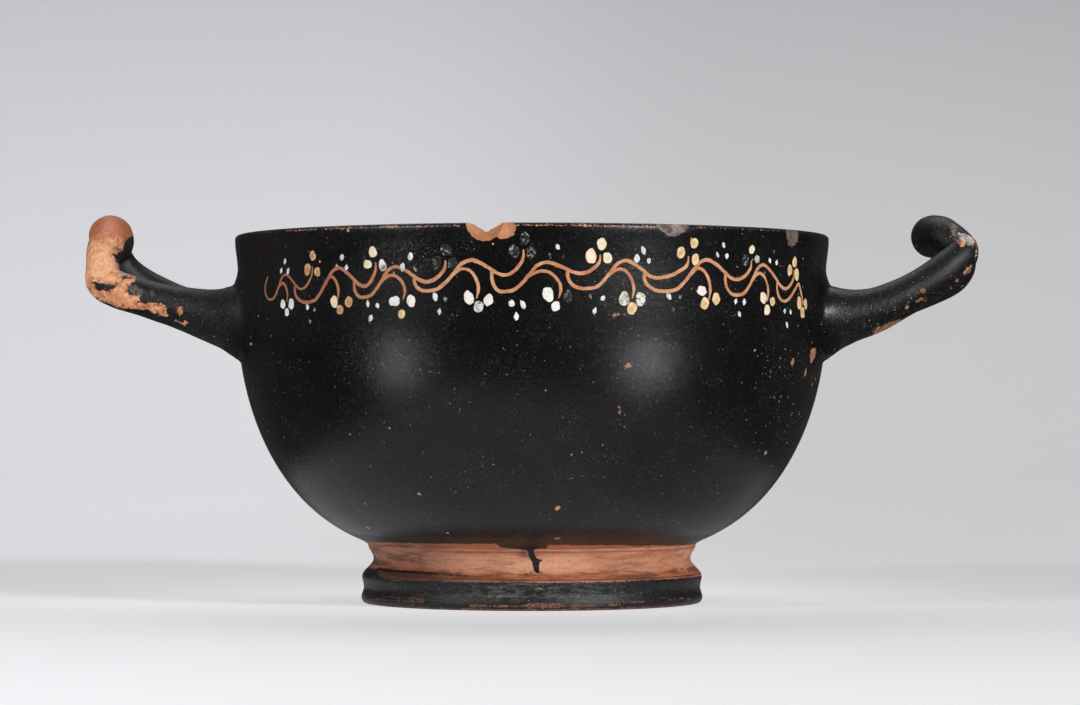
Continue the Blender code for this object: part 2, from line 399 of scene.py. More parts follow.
def rolled_handle(name, path, lumpiness, seed, material):
    """One handle, spreading where it meets the bowl, with the unevenness of rolled clay."""
    points, faces = swept_mesh(path, TUBE_STEPS)
    skin = points[:-2]
    _, centres = distance_to_path(skin, path)
    outward = skin - centres
    outward /= np.maximum(np.linalg.norm(outward, axis=1), 1e-6)[:, None]
    uneven = 0.16 * lumps(skin, 9.0, seed) + 0.05 * lumps(skin, 3.5, seed + 5.0)
    uneven += smooth_step(92.0, 99.0, np.abs(skin[:, 0])) * lumpiness * lumps(skin, 4.2, seed + 9.0)
    points[:-2] += outward * (fillet_lift(distance_to_body(skin), skin[:, 2]) + uneven)[:, None]
    return object_from(name, points, faces, material)


def chip_cutter(name, chip, material):
    """A rough lump that bites a chip out of the rim."""
    azimuth, reach, height, half_width, half_depth, half_height, roughness = chip
    cutter = bmesh.new()
    bmesh.ops.create_icosphere(cutter, subdivisions=5, radius=1.0)
    turn = math.radians(azimuth)
    c, s = math.cos(turn), math.sin(turn)
    points = []
    for vert in cutter.verts:
        ridge = abs(noise.noise(vert.co * 2.4 + Vector((azimuth, 0.0, 3.0))))
        grit = noise.noise(vert.co * 7.0 + Vector((0.0, azimuth, 1.0)))
        swell = 1.0 + roughness * (0.9 * (ridge - 0.2) + 0.28 * grit)
        x, y, z = (part * half * swell for part, half in zip(vert.co, (half_width, half_depth, half_height)))
        points.append((reach * s + x * c - y * s, -reach * c + x * s + y * c, height + z))
    faces = [[vert.index for vert in face.verts] for face in cutter.faces]
    cutter.free()
    return object_from(name, points, faces, material)


def add_boolean(target, other, operation):
    step = target.modifiers.new(other.name, "BOOLEAN")
    step.object = other
    step.operation = operation
    step.solver = "EXACT"
    step.material_mode = "TRANSFER"


def settled(target, name):
    """A new object with the target's modifiers worked out."""
    mesh = bpy.data.meshes.new_from_object(target.evaluated_get(bpy.context.evaluated_depsgraph_get()))
    mesh.name = name
    return linked(name, mesh)


def soften_seams(thing):
    """Evens out the joins between the bowl and the handles."""
    work = bmesh.new()
    work.from_mesh(thing.data)
    work.verts.ensure_lookup_table()
    points = np.array([vert.co for vert in work.verts]) / MM
    near = np.flatnonzero(near_roots(points))
    some = points[near]
    gap, _ = distance_to_path(some, BOTH_PATHS)
    limit = 0.25 * fillet_reach(some[:, 2]) + 1.0
    seam = near[(np.abs(gap) < limit) & (np.abs(distance_to_body(some)) < limit)]
    verts = [work.verts[index] for index in seam]
    every_way = dict.fromkeys(("use_axis_x", "use_axis_y", "use_axis_z"), True)
    for _ in range(SEAM_ROUNDS):
        bmesh.ops.smooth_vert(work, verts=verts, factor=0.5, **every_way)
    work.to_mesh(thing.data)
    work.free()


# ---------------------------------------------------------------- where the gloss is lost

# Outlines seen from the side of the notch, as corners (x, z) in millimetres.
LEFT_BARE = (
    (-93.8, 85.4), (-94.7, 85.0), (-95.3, 83.9), (-96.2, 82.5), (-96.9, 81.3), (-96.8, 79.8), (-95.8, 78.7),
    (-93.8, 77.7), (-91.8, 76.8), (-91.9, 75.9), (-92.2, 75.1), (-93.1, 74.3), (-93.7, 73.3), (-93.1, 72.1),
    (-91.5, 72.0), (-90.4, 72.0), (-90.3, 71.2), (-91.5, 70.4), (-89.7, 70.2), (-87.3, 70.2), (-85.6, 69.8),
    (-84.5, 69.2), (-84.1, 67.1), (-85.0, 66.9), (-86.1, 67.5), (-87.6, 68.0), (-89.1, 68.7), (-91.5, 68.7),
    (-92.6, 68.9), (-94.4, 68.9), (-97.0, 69.5), (-98.9, 70.3), (-100.7, 71.2), (-102.2, 72.3), (-103.4, 73.3),
    (-110.0, 76.0), (-110.0, 94.0), (-90.0, 94.0), (-91.5, 87.0),
)
LEFT_KEPT = (
    (
        (-101.6, 75.3), (-101.2, 75.5), (-101.0, 74.7), (-99.9, 74.9), (-98.5, 74.6), (-97.0, 74.4), (-96.0, 74.7),
        (-95.9, 74.2), (-96.8, 73.5), (-98.5, 73.0), (-100.4, 73.3), (-101.3, 73.9),
    ),
    ((-95.3, 76.7), (-94.4, 76.7), (-92.9, 75.9), (-93.2, 75.7), (-95.1, 75.8)),
)
LEFT_ISLANDS = (
    ((-82.8, 69.5), (-80.1, 69.3), (-80.8, 67.1), (-81.6, 67.1), (-82.3, 68.6)),
    ((-83.0, 66.5), (-81.7, 66.1), (-79.2, 65.9), (-80.2, 65.0), (-81.1, 65.3), (-82.8, 66.1)),
)
LEFT_RUBBED = (
    ((-95.0, 74.5), (-91.5, 74.5), (-89.0, 73.0), (-90.3, 71.2), (-92.6, 72.1), (-94.4, 73.6)),
    ((-88.8, 73.3), (-87.3, 73.3), (-86.9, 72.1), (-88.1, 71.7)),
    ((-99.0, 75.4), (-97.0, 75.2), (-96.4, 74.3), (-97.6, 74.0), (-98.8, 74.6)),
)
RIGHT_BARE = (
    ((98.5, 84.9), (100.1, 85.1), (100.8, 84.2), (100.3, 83.1), (99.5, 83.8)),
    ((102.1, 79.5), (102.7, 79.2), (102.1, 77.9), (101.0, 76.9), (100.3, 77.2), (101.1, 78.2), (101.6, 78.5)),
    ((98.0, 75.5), (99.2, 76.2), (99.3, 75.6), (98.3, 74.9)),
    ((89.9, 73.2), (90.5, 73.6), (91.3, 72.9), (90.9, 72.3), (90.1, 72.6)),
    ((90.2, 71.4), (90.5, 71.1), (91.7, 70.7), (91.5, 70.4), (90.4, 70.9), (89.2, 70.1), (88.6, 70.3), (89.6, 71.0)),
    ((86.0, 69.0), (86.8, 69.8), (87.8, 68.7), (86.6, 68.8)),
    ((83.2, 69.5), (83.9, 69.5), (84.1, 69.0), (83.4, 68.9)),
)
RIGHT_UNDERSIDE = (
    (78.8, 63.9), (80.1, 64.5), (82.5, 65.6), (86.4, 66.6), (88.4, 67.6), (87.0, 64.6), (83.4, 63.0), (79.6, 61.4),
)
RIGHT_DOTS = (
    ((102.9, 85.7), (103.9, 83.6), 0.22),
    ((103.4, 82.5), (103.3, 82.3), 0.22),
    ((103.3, 81.4), (103.2, 81.1), 0.18),
    ((97.1, 73.9), (97.3, 73.8), 0.2),
    ((88.7, 72.8), (88.9, 72.7), 0.15),
)
RIGHT_RUBBED = (
    (
        (97.7, 88.8), (99.0, 89.0), (100.2, 88.2), (99.3, 87.9), (99.0, 86.9), (99.3, 85.9), (98.5, 84.6),
        (98.0, 84.9), (98.0, 86.5), (97.5, 87.9),
    ),
    (
        (102.0, 86.6), (103.3, 85.2), (104.0, 83.2), (103.6, 80.8), (102.6, 79.2), (103.0, 80.9), (103.3, 83.0),
        (102.7, 84.8),
    ),
    ((93.9, 73.1), (94.7, 73.0), (94.6, 72.4), (94.0, 72.4)),
    ((76.3, 65.6), (77.2, 65.6), (77.3, 64.6), (76.4, 64.5)),
)
RIGHT_PALE = (
    (99.2, 87.0), (100.2, 86.5), (101.1, 86.9), (102.1, 86.2), (103.4, 84.6), (102.8, 83.6), (101.5, 83.6),
    (100.5, 84.6), (99.2, 85.7),
)
# Larger flakes off the bowl: azimuth, height, then half width and half height.
BOWL_FLAKES = (
    (18.4, 55.3, 1.25, 0.6),
    (17.2, 45.2, 0.65, 0.75),
    (12.6, 59.2, 0.35, 0.3),
    (14.3, 58.6, 0.3, 0.4),
    (16.0, 57.6, 0.25, 0.25),
    (-29.0, 41.5, 0.3, 0.35),
    (37.6, 51.5, 0.35, 0.3),
    (15.4, 66.2, 0.75, 0.55),
    (17.1, 67.0, 0.55, 0.6),
    (52.0, 54.2, 0.7, 0.4),
    (57.5, 48.6, 0.45, 0.65),
    (59.8, 56.4, 0.8, 0.9),
    (66.9, 54.0, 0.7, 1.3),
    (69.4, 58.1, 1.7, 1.7),
    (72.6, 64.6, 0.6, 0.45),
    (-68.4, 60.7, 0.7, 0.4),
    (150.0, 58.0, 1.2, 0.8),
    (-141.0, 44.0, 0.9, 1.1),
    (-163.0, 63.0, 0.5, 0.6),
)
# The wear on the foot, with the distance round the stem in place of x.
SMEAR = (
    (-7.6, 17.0), (-7.3, 14.8), (-6.9, 14.2), (-5.6, 14.15), (-3.4, 14.0), (-0.95, 13.85), (-0.65, 12.2), (0.1, 11.1),
    (0.4, 9.9), (0.8, 8.6), (1.8, 8.55), (1.75, 9.9), (1.95, 10.9), (3.2, 11.75), (3.1, 11.95), (1.75, 11.45),
    (0.8, 12.4), (0.35, 13.7), (1.6, 14.2), (3.4, 14.1), (3.9, 17.0),
)
SMEAR_TAILS = (
    ((-1.4, 8.3), (0.5, 8.8), 0.1),
    ((1.8, 8.7), (3.0, 8.45), 0.12),
)
FOOT_STAIN = ((-3.3, 14.2), (-1.0, 13.9), (-0.8, 11.9), (-2.1, 12.0), (-2.7, 12.7))
FOOT_LINE = (
    ((-46.0, 8.4), (-33.0, 8.35), 0.3),
    ((-33.0, 8.35), (-24.0, 8.1), 0.24),
    ((-24.0, 8.1), (-16.0, 7.85), 0.15),
    ((-16.0, 7.85), (-7.0, 7.6), 0.06),
)
FOOT_WORN = (
    ((-40.0, 2.35), (-25.6, 2.35), 0.14),
    ((-43.0, 1.6), (-25.3, 1.6), 0.16),
    ((-26.6, 1.9), (-25.4, 1.9), 0.4),
    ((-13.5, 1.15), (20.0, 1.15), 0.2),
    ((-1.0, 1.3), (6.5, 1.25), 0.45),
    ((21.0, 1.7), (44.0, 1.9), 0.1),
)
FOOT_STREAKS = (
    ((-9.5, 3.25), (-2.9, 3.45), 0.3),
    ((-16.8, 3.6), (-11.9, 4.2), 0.12),
    ((-0.6, 5.3), (2.2, 5.0), 0.3),
    ((19.0, 4.2), (26.5, 3.7), 0.05),
)
# The foot: the radius at which the distance round it is measured, its top, and a radius between its recess and its
# outside. Then the edges of the reserved band, how far the upper one rises at the front, and the top of the bare
# resting edge.
STEM_TURN = 38.5
FOOT_TOP = 18.0
STEM_SIDE = 35.0
FOOT_BAND_LOW = 6.5
FOOT_BAND_HIGH = 14.1
FOOT_BAND_RISE = 1.25
WORN_BASE = 0.45
# Where pale dust sits thickest on the front, partly a painted sheen over the belly highlights and the wall above
# them: centre and half sizes.
DUST_AND_SHEEN_PATCHES = (
    ((-28.0, -64.0, 79.0), (16.0, 20.0, 6.0)),
    ((24.0, -66.0, 73.0), (16.0, 20.0, 13.0)),
    ((-33.0, -62.0, 58.0), (18.0, 24.0, 12.0)),
    ((25.0, -66.0, 56.0), (15.0, 24.0, 12.0)),
)
# Runs of wear just under the crest of the lip: azimuths from and to, and the half height of the bare line.
LIP_WEAR = (
    (-67.0, -57.0, -0.08),
    (-52.0, -42.2, 0.08),
    (-41.2, -38.8, 0.1),
    (-38.8, -28.0, 0.04),
    (-27.6, -24.3, 0.16),
    (-24.3, -13.0, 0.02),
    (-3.0, 8.2, 0.08),
    (8.2, 10.2, 0.24),
    (10.6, 23.7, 0.06),
    (31.0, 53.0, -0.04),
    (112.0, 148.0, 0.1),
    (163.0, 206.0, 0.05),
    (-150.0, -118.0, 0.12),
)
# How far that line lies under the top of the rim.
LIP_LINE = 0.62
# Gaps in millimetres that stand for well outside an outline: for a whole field, and for the capsules.
FAR_OUTSIDE = -6.0
OUT_OF_REACH = -50.0


def outline_gap(flat, corners):
    """Distance to an outline: positive inside it, negative outside."""
    line = np.array([*corners, corners[0]])
    x, z = flat.T
    inside = np.zeros(len(flat), bool)
    for (x0, z0), (x1, z1) in zip(line, line[1:]):
        if z0 != z1:
            inside ^= ((z0 > z) != (z1 > z)) & (x < x0 + (x1 - x0) * (z - z0) / (z1 - z0))
    return np.where(inside, 1.0, -1.0) * distance_to_line(flat, line)


def outlines(flat, shapes):
    return np.max([outline_gap(flat, corners) for corners in shapes], axis=0)


def capsules(flat, shapes):
    """Largest (half width - distance) over the capsules: positive inside."""
    gaps = [half_width - distance_to_line(flat, np.array([a, b])) for a, b, half_width in shapes]
    return np.max([np.full(len(flat), OUT_OF_REACH), *gaps], axis=0)


def foot_wear(z, reach, azimuth, turn):
    """The reserved clay of the foot, its worn edges and its recess, less the black that ran into it."""
    edge = FOOT_BAND_HIGH + FOOT_BAND_RISE * np.clip(np.cos(np.radians(azimuth)), 0.0, 1.0)
    edge += 0.12 * np.sin(np.radians(azimuth * 5.0 + 40.0)) - 0.5 * smooth_step(4.0, 7.0, azimuth)
    low = FOOT_BAND_LOW + 1.7 * fade(-70.0, -58.0, azimuth) * smooth_step(-140.0, -120.0, azimuth)
    band = np.minimum(z - low, edge - z)
    black = np.maximum(outline_gap(turn, SMEAR), capsules(turn, SMEAR_TAILS + FOOT_LINE))
    outside = np.maximum(np.minimum(band, -black), capsules(turn, FOOT_WORN))
    band = np.maximum(np.where(reach > STEM_SIDE, outside, band), WORN_BASE - z)
    recess = np.minimum(2.0, RECESS_WALL[0] + 0.5 - reach)
    return np.where((reach < REST_OUTER_RADIUS + 0.4) & (z < 8.0), np.maximum(band, recess), band)


def lip_wear(azimuth):
    """Half height of the bare line under the crest of the lip, or -1 where there is none."""
    worn = np.full(len(azimuth), -1.0)
    for start, end, half in LIP_WEAR:
        for turned in (azimuth, azimuth + 360.0):
            share = smooth_step(start - 0.7, start, turned) * fade(end, end + 0.7, turned)
            worn = np.maximum(worn, share * (half + 1.0) - 1.0)
    return worn


def left_wear(x, y, z, side_view):
    """The bare clay of the left handle. It ends in a torn edge past the crest."""
    inner = smooth_step(-101.0, -96.0, x) * fade(84.5, 87.5, z)
    torn = 2.6 * np.sin(0.55 * z + 0.4 * x) + 1.4 * np.sin(1.7 * z - 0.9 * x)
    bare = np.minimum(outline_gap(side_view, LEFT_BARE), 4.0 - 14.0 * inner + torn * (1.0 - inner) - y)
    front = np.maximum(np.minimum(bare, -outlines(side_view, LEFT_KEPT)), outlines(side_view, LEFT_ISLANDS))
    return np.where(y < -8.0, front, bare)


def flake_wear(z, reach, azimuth):
    """The larger flakes off the bowl, each an ellipse."""
    worn = np.full(len(z), FAR_OUTSIDE)
    for turn_to, height, half_width, half_height in BOWL_FLAKES:
        away = np.hypot(np.radians(azimuth - turn_to) * reach / half_width, (z - height) / half_height)
        worn = np.maximum(worn, (1.0 - away) * min(half_width, half_height))
    return worn


def surface_fields(points):
    """What the finish needs at every point, in millimetres or as shares."""
    x, y, z = points.T
    reach = np.hypot(x, y)
    azimuth = np.degrees(np.arctan2(x, -y))
    side_view = np.stack([x, z], axis=1)
    turn = np.stack([np.radians(azimuth) * STEM_TURN, z], axis=1)
    inside = (reach < radius_at(np.array(INNER), z) + 0.5) & (z > FLOOR_HEIGHT - 0.5)
    foot = (z < FOOT_TOP) & ~inside
    on_bowl = ~inside & (reach < BOWL_RADIUS + 4.0) & (z > FOOT_TOP)
    on_handle = reach > BOWL_RADIUS + 5.0
    near_side = y < -3.0

    underside = outline_gap(side_view, RIGHT_UNDERSIDE)
    right = np.maximum(outlines(side_view, RIGHT_BARE), capsules(side_view, RIGHT_DOTS))
    right = np.where(near_side, np.maximum(right, underside), FAR_OUTSIDE)
    handles = np.where(x < 0.0, left_wear(x, y, z, side_view), right)
    bare = np.where(foot, foot_wear(z, reach, azimuth, turn), FAR_OUTSIDE)
    bare = np.where(on_handle, np.maximum(bare, handles), bare)
    bare = np.where(on_bowl, np.maximum(bare, flake_wear(z, reach, azimuth)), bare)

    ragged = np.where(foot, np.where(z < 2.9, 0.3, 0.22), 0.9)
    ragged = np.where(on_handle, np.where((x > 0.0) & (underside > -0.8), 0.55, 0.42), ragged)
    ragged = np.where(on_bowl, 0.34, ragged)

    rubbed = np.where(x > 0.0, outlines(side_view, RIGHT_RUBBED), outlines(side_view, LEFT_RUBBED))
    rubbed = np.where(on_handle & near_side, rubbed, FAR_OUTSIDE)
    foot_rubbed = np.maximum(capsules(turn, FOOT_STREAKS), outline_gap(turn, FOOT_STAIN))
    rubbed = np.where(foot & (reach > STEM_SIDE), foot_rubbed, rubbed)
    pale = np.where(on_handle & near_side, outline_gap(side_view, RIGHT_PALE), FAR_OUTSIDE)

    worn_side = smooth_step(36.0, 52.0, azimuth) * fade(80.0, 95.0, azimuth)
    worn_side *= smooth_step(25.0, 40.0, z) * fade(78.0, 84.0, z)
    flecks = np.where(on_bowl, 0.08 + 0.92 * worn_side, 0.10)
    flecks = np.where(on_handle, np.maximum(0.12, smooth_step(72.0, 84.0, x) * 0.75), flecks)
    flecks = np.where(inside, 0.06, flecks)
    lip = lip_wear(azimuth)
    return {"bare": bare, "ragged": ragged, "rubbed": rubbed, "pale": pale, "lip": lip, "flecks": flecks}


def add_field(thing, name, values):
    field = thing.data.attributes.new(name, "FLOAT", "POINT")
    field.data.foreach_set("value", np.asarray(values, np.float32))


def store_fields(thing):
    points = np.empty(len(thing.data.vertices) * 3, np.float32)
    thing.data.vertices.foreach_get("co", points)
    for name, values in surface_fields(points.reshape(-1, 3).astype(float) / MM).items():
        add_field(thing, name, values)


# ---------------------------------------------------------------- finishes


def paint(red, green, blue):
    """A shade given by its display values, 0 to 255."""
    shades = [value / 255.0 for value in (red, green, blue)]
    linear = [s / 12.92 if s <= 0.04045 else ((s + 0.055) / 1.055) ** 2.4 for s in shades]
    return (*linear, 1.0)


class Value:
    """A node's output, reckoned with like a number. Of two masks, a | b is the larger."""

    def __init__(self, nodes, socket):
        self.nodes, self.socket = nodes, socket

    def __add__(self, other):
        return self.nodes.math("ADD", self, other)

    def __sub__(self, other):
        return self.nodes.math("SUBTRACT", self, other)

    def __mul__(self, other):
        return self.nodes.math("MULTIPLY", self, other)

    def __or__(self, other):
        return self.nodes.math("MAXIMUM", self, other)

    def __rsub__(self, other):
        return self.nodes.math("SUBTRACT", other, self)

    def __abs__(self):
        return self.nodes.math("ABSOLUTE", self)

    def beside(self, output):
        """Another output of the same node."""
        return Value(self.nodes, self.socket.node.outputs[output])

    def step(self, low, high, start=0.0, end=1.0):
        """Eased from the start, at low, to the end, at high."""
        inputs = {"Value": self, "From Min": low, "From Max": high, "To Min": start, "To Max": end}
        return self.nodes.node("MapRange", inputs, interpolation_type="SMOOTHSTEP")


class Nodes:
    """Short names for building a node tree."""

    def __init__(self, tree):
        self.tree = tree
        self.where = self.node("TexCoord", output="Object")

    def feed(self, socket, value):
        if isinstance(value, Value):
            self.tree.links.new(value.socket, socket)
        else:
            socket.default_value = value

    def node(self, kind, inputs=(), output=0, **settings):
        made = self.tree.nodes.new("ShaderNode" + kind)
        for key, value in settings.items():
            setattr(made, key, value)
        for key, value in inputs.items() if isinstance(inputs, dict) else enumerate(inputs):
            self.feed(made.inputs[key], value)
        return Value(self, made.outputs[output])

    def math(self, operation, *values, clamp=False):
        return self.node("Math", values, operation=operation, use_clamp=clamp)

    def vector(self, operation, *values):
        output = "Value" if operation == "LENGTH" else "Vector"
        return self.node("VectorMath", values, output, operation=operation)

    def split(self, value):
        x = self.node("SeparateXYZ", (value,))
        return x, x.beside(1), x.beside(2)

    def field(self, name):
        return self.node("Attribute", output="Fac", attribute_name=name)

    def stretched(self, across, upright=1.0):
        """Coordinates squeezed so that a grain runs along the turning, or down the wall."""
        return self.vector("MULTIPLY", self.where, (across, across, upright))

    def noise(self, size, detail=3.0, roughness=0.55, where=None, output="Fac"):
        """Noise whose grain is about size millimetres."""
        inputs = {"Vector": where or self.where, "Scale": 1.0 / (size * MM), "Detail": detail}
        return self.node("TexNoise", {**inputs, "Roughness": roughness}, output)

    def blend(self, share, first, second):
        return self.node("Mix", {0: share, 2: first, 3: second}, data_type="FLOAT")

    def mix(self, share, first, second):
        """A colour between two, each a node's or given by its display values."""
        first, second = (paint(*shade) if isinstance(shade, tuple) else shade for shade in (first, second))
        return self.node("Mix", {0: share, 6: first, 7: second}, 2, data_type="RGBA")

    def layers(self, colour, *coats):
        """A colour with others laid over it, each where its mask says."""
        for mask, coat in coats:
            colour = self.mix(mask, colour, coat)
        return colour

    def specks(self, cell, share, smallest, largest, where=None):
        """Scattered spots: cell size in millimetres, the share of cells that hold one, and their radii."""
        gap = self.node("TexVoronoi", {"Vector": where or self.where, "Scale": 1.0 / (cell * MM)}, "Distance")
        lot = self.split(gap.beside("Color"))
        size = self.math("POWER", lot[1], 2.5) * ((largest - smallest) / cell) + smallest / cell
        return self.math("LESS_THAN", lot[0], share) * (size - gap).step(-0.02, 0.02)

    def patch(self, centre, reach):
        """1 at a centre, falling to 0 at the given half sizes, both in millimetres."""
        away = self.vector("SUBTRACT", self.where, tuple(value * MM for value in centre))
        away = self.vector("DIVIDE", away, tuple(value * MM for value in reach))
        return self.vector("LENGTH", away).step(1.0, 0.3)


class Finish(Nodes):
    """A material in the making."""

    def __init__(self, name):
        self.material = bpy.data.materials.new(name)
        self.material.use_nodes = True
        super().__init__(self.material.node_tree)
        self.shader = self.tree.nodes["Principled BSDF"].inputs

    def done(self, colour, roughness, height, depth):
        """The material, with small relief: its height runs from 0 to 1 and its depth is in millimetres."""
        bump = self.node("Bump", {"Strength": 1.0, "Distance": depth * MM, "Height": height})
        for name, value in (("Base Color", colour), ("Roughness", roughness), ("Normal", bump)):
            self.feed(self.shader[name], value)
        return self.material


def gloss_ware():
    """Black gloss over orange clay, bare where the fields say so."""
    f = Finish("black_gloss_ware")
    x, y, z = f.split(f.where)
    level = z * (1.0 / MM)
    reach = f.vector("LENGTH", f.node("CombineXYZ", (x, y))) * (1.0 / MM)
    on_foot, on_handle = level.step(17.0, 16.0), reach.step(71.0, 76.0)
    off_handle, ends = 1.0 - on_handle, on_handle | on_foot

    coarse, fine = f.noise(2.6, 5.0, 0.62), f.noise(0.7, 3.0, 0.6)
    grit, grain = f.noise(0.28, 3.0, 0.7), f.noise(0.5, 3.0, 0.8)
    wander = coarse * 3.4 - 1.7 + (fine * 2.6 - 1.3) + (grit * 2.4 - 1.2)
    edge = wander * f.field("ragged") + f.field("bare")
    crumbs = f.noise(0.9, 5.0, 0.8)
    eaten = edge.step(1.5, 0.2) * crumbs.step(0.53, 0.58)
    stray = edge.step(-1.4, -0.3) * crumbs.step(0.36, 0.32)
    clay = edge.step(-0.05, 0.05)
    clay = f.blend(on_handle, clay, clay - eaten | stray)
    dotted = f.noise(0.55, 3.0, 0.65) * 1.5 - 0.75
    line = f.field("lip") - abs(level - (RIM_HEIGHT - LIP_LINE)) + dotted
    on_edge = level.step(RIM_HEIGHT - 2.2, RIM_HEIGHT - 1.7) * reach.step(LIP_RADIUS - 0.7, LIP_RADIUS - 0.5)
    clay = clay | line.step(-0.03, 0.06) * on_edge
    shift = f.node("VectorMath", {0: f.noise(0.9, 2.0, output="Color"), "Scale": 0.7 * MM}, operation="SCALE")
    bent = f.vector("ADD", f.where, shift)
    density = f.field("flecks")
    flecks = f.specks(3.1, density * 0.34, 0.18, 0.75, bent) | f.specks(1.15, density * 0.42, 0.07, 0.26, bent)
    clay = clay | flecks * (1.0 - on_foot)

    # The black coat: faintly streaked by the wheel, greyer where it is rubbed, with pale dust in its pits. The dust
    # is laid on thickest where the highlights fall on the front, partly a painted sheen.
    cloud = f.noise(24.0, 3.0, 0.5)
    dust_and_sheen = f.noise(9.0, 3.0, 0.6).step(0.42, 0.66) * 0.55
    # Pale grain thickest on the front patches: partly dust, partly painted sheen over the highlights.
    for centre, half_sizes in DUST_AND_SHEEN_PATCHES:
        dust_and_sheen = dust_and_sheen | f.patch(centre, half_sizes)
    dust_and_sheen = dust_and_sheen | ends * 0.8
    rubbed = (wander * 0.35 + f.field("rubbed")).step(-0.15, 0.5) * f.noise(0.8, 4.0, 0.7).step(0.34, 0.6)
    rubbed = rubbed * x.step(-0.08, -0.06, 0.45, 1.0)
    chalky = (wander * 0.3 + f.field("pale")).step(-0.1, 0.15) * f.noise(1.5, 4.0, 0.75).step(0.36, 0.5)
    lines = level.step(7.2, 6.6) * f.noise(0.35, 2.0, 0.5, f.stretched(0.05)).step(0.66, 0.76)
    # Grey streaks on the front of the black foot band: a painted sheen standing for the band's streaky reflections.
    band_sheen = f.noise(0.8, 4.0, 0.7, f.stretched(0.35)).step(0.42, 0.62)
    band_sheen = band_sheen * f.patch((2.0, -44.0, 4.4), (30.0, 30.0, 3.4))
    coat = f.layers(
        f.mix(cloud.step(0.35, 0.7), (6, 6, 7), (12, 12, 12)),
        (fine.step(0.62, 0.8) * 0.5, (48, 47, 46)),
        (grain.step(0.48, 0.78) * (dust_and_sheen * 0.7 + 0.2), (80, 80, 79)),
        (f.specks(0.55, dust_and_sheen * 0.3 + 0.02, 0.05, 0.15, bent) * 0.7, (168, 166, 162)),
        (rubbed, f.mix(fine, (104, 82, 72), (176, 160, 144))),
        (chalky, f.mix(f.noise(1.0, 4.0, 0.75).step(0.4, 0.6), (128, 116, 106), (232, 230, 222))),
        (lines * 0.5, (172, 164, 142)),
        (band_sheen * 0.55, (100, 100, 98)),
    )

    # Fired clay: orange on breaks and bare handles, and duller and pinker where the foot was left plain.
    warm = f.layers(
        f.mix(coarse.step(0.3, 0.7), (222, 142, 96), (255, 194, 150)),
        (f.noise(1.5, 4.0, 0.7).step(0.55, 0.75) * 0.6, (190, 112, 76)),
        # Darker and redder above 83 mm: partly the clay's own colour, partly painted shade on the upward-facing tops
        # of the handles.
        (level.step(83.0, 87.5) * 0.75, (200, 102, 56)),
        (grit.step(0.56, 0.7) * 0.35, (150, 84, 54)),
        (level.step(77.0, 73.0) * f.noise(2.0, 5.0, 0.75).step(0.42, 0.6) * 0.8, (196, 116, 72)),
        (x.step(0.008, 0.02) * level.step(80.0, 76.0) * grain.step(0.4, 0.6, 0.4, 1.0), (128, 82, 52)),
        # A lighter patch on the front of the left crest: painted light and sheen where the crest is brightly lit.
        (f.patch((-101.0, -18.0, 80.0), (8.0, 16.0, 6.0)) * 0.5, (255, 196, 150)),
        (off_handle * level.step(72.0, 66.0) * coarse.step(0.4, 0.6, 0.15, 0.8), (176, 140, 106)),
        (f.specks(0.9, 0.12, 0.05, 0.3, bent) * 0.8, (60, 44, 36)),
    )
    streaks = f.noise(1.5, 5.0, 0.75, f.stretched(0.13))
    broad = f.noise(7.0, 4.0, 0.6, f.stretched(0.3))
    ragged_line = f.noise(0.8, 3.0, where=f.stretched(0.25)) * 0.5 - 0.25
    scraped = 0.16 - abs(level - 13.7) + ragged_line
    left_brown = f.mix(streaks.step(0.4, 0.6), (176, 114, 88), (112, 72, 58))
    dull = f.layers(
        f.mix(broad.step(0.35, 0.7), (204, 138, 104), (228, 168, 132)),
        (streaks.step(0.5, 0.64) * 0.65, (152, 88, 60)),
        (streaks.step(0.46, 0.34) * 0.45, (242, 192, 162)),
        (f.noise(0.9, 4.0, 0.75).step(0.53, 0.68) * 0.5, (150, 92, 68)),
        (f.specks(1.0, 0.4, 0.05, 0.18, bent) * 0.6, (110, 70, 54)),
        (level.step(12.2, 13.6) * 0.75, (176, 98, 62)),
        (level.step(9.0, 7.6) * 0.75, (186, 100, 56)),
        (level.step(9.4, 8.2) * streaks.step(0.44, 0.56) * 0.75, (112, 66, 46)),
        (abs(level - 13.15).step(0.2, 0.08) * 0.5, (120, 70, 50)),
        (level.step(6.7, 6.95) * level.step(7.25, 7.0) * 0.75, (70, 44, 34)),
        (scraped.step(-0.02, 0.12) * 0.6, (224, 178, 146)),
        (x.step(-0.012, -0.03) * y.step(0.01, 0.0), left_brown),
        (x.step(-0.008, -0.024) * level.step(8.8, 8.1) * streaks.step(0.3, 0.6, 0.75, 1.0), (84, 47, 31)),
        (f.patch((-1.6, -39.0, 13.0), (1.9, 5.0, 1.5)) * fine.step(0.3, 0.6) * 0.8, (96, 62, 44)),
        (level.step(2.6, 2.0) * 0.85, f.mix(grain.step(0.35, 0.6), (150, 106, 78), (52, 40, 34))),
    )
    lip_clay = f.mix(grain.step(0.4, 0.6), (146, 88, 66), (226, 170, 140))
    bare_colour = f.layers(warm, (on_foot, dull), (on_edge * off_handle, lip_clay))

    satin = cloud * 0.08 + 0.20 + fine * 0.06 + rubbed * 0.2 + ends * 0.12
    satin = satin + f.patch((-62.0, -32.0, 74.0), (26.0, 34.0, 24.0)) * 0.3
    crest = clay * f.patch((-100.0, -24.0, 82.0), (14.0, 26.0, 12.0))
    matt = f.blend(on_foot, crest * -0.24 + (coarse * 0.3 + 0.24), 0.62)

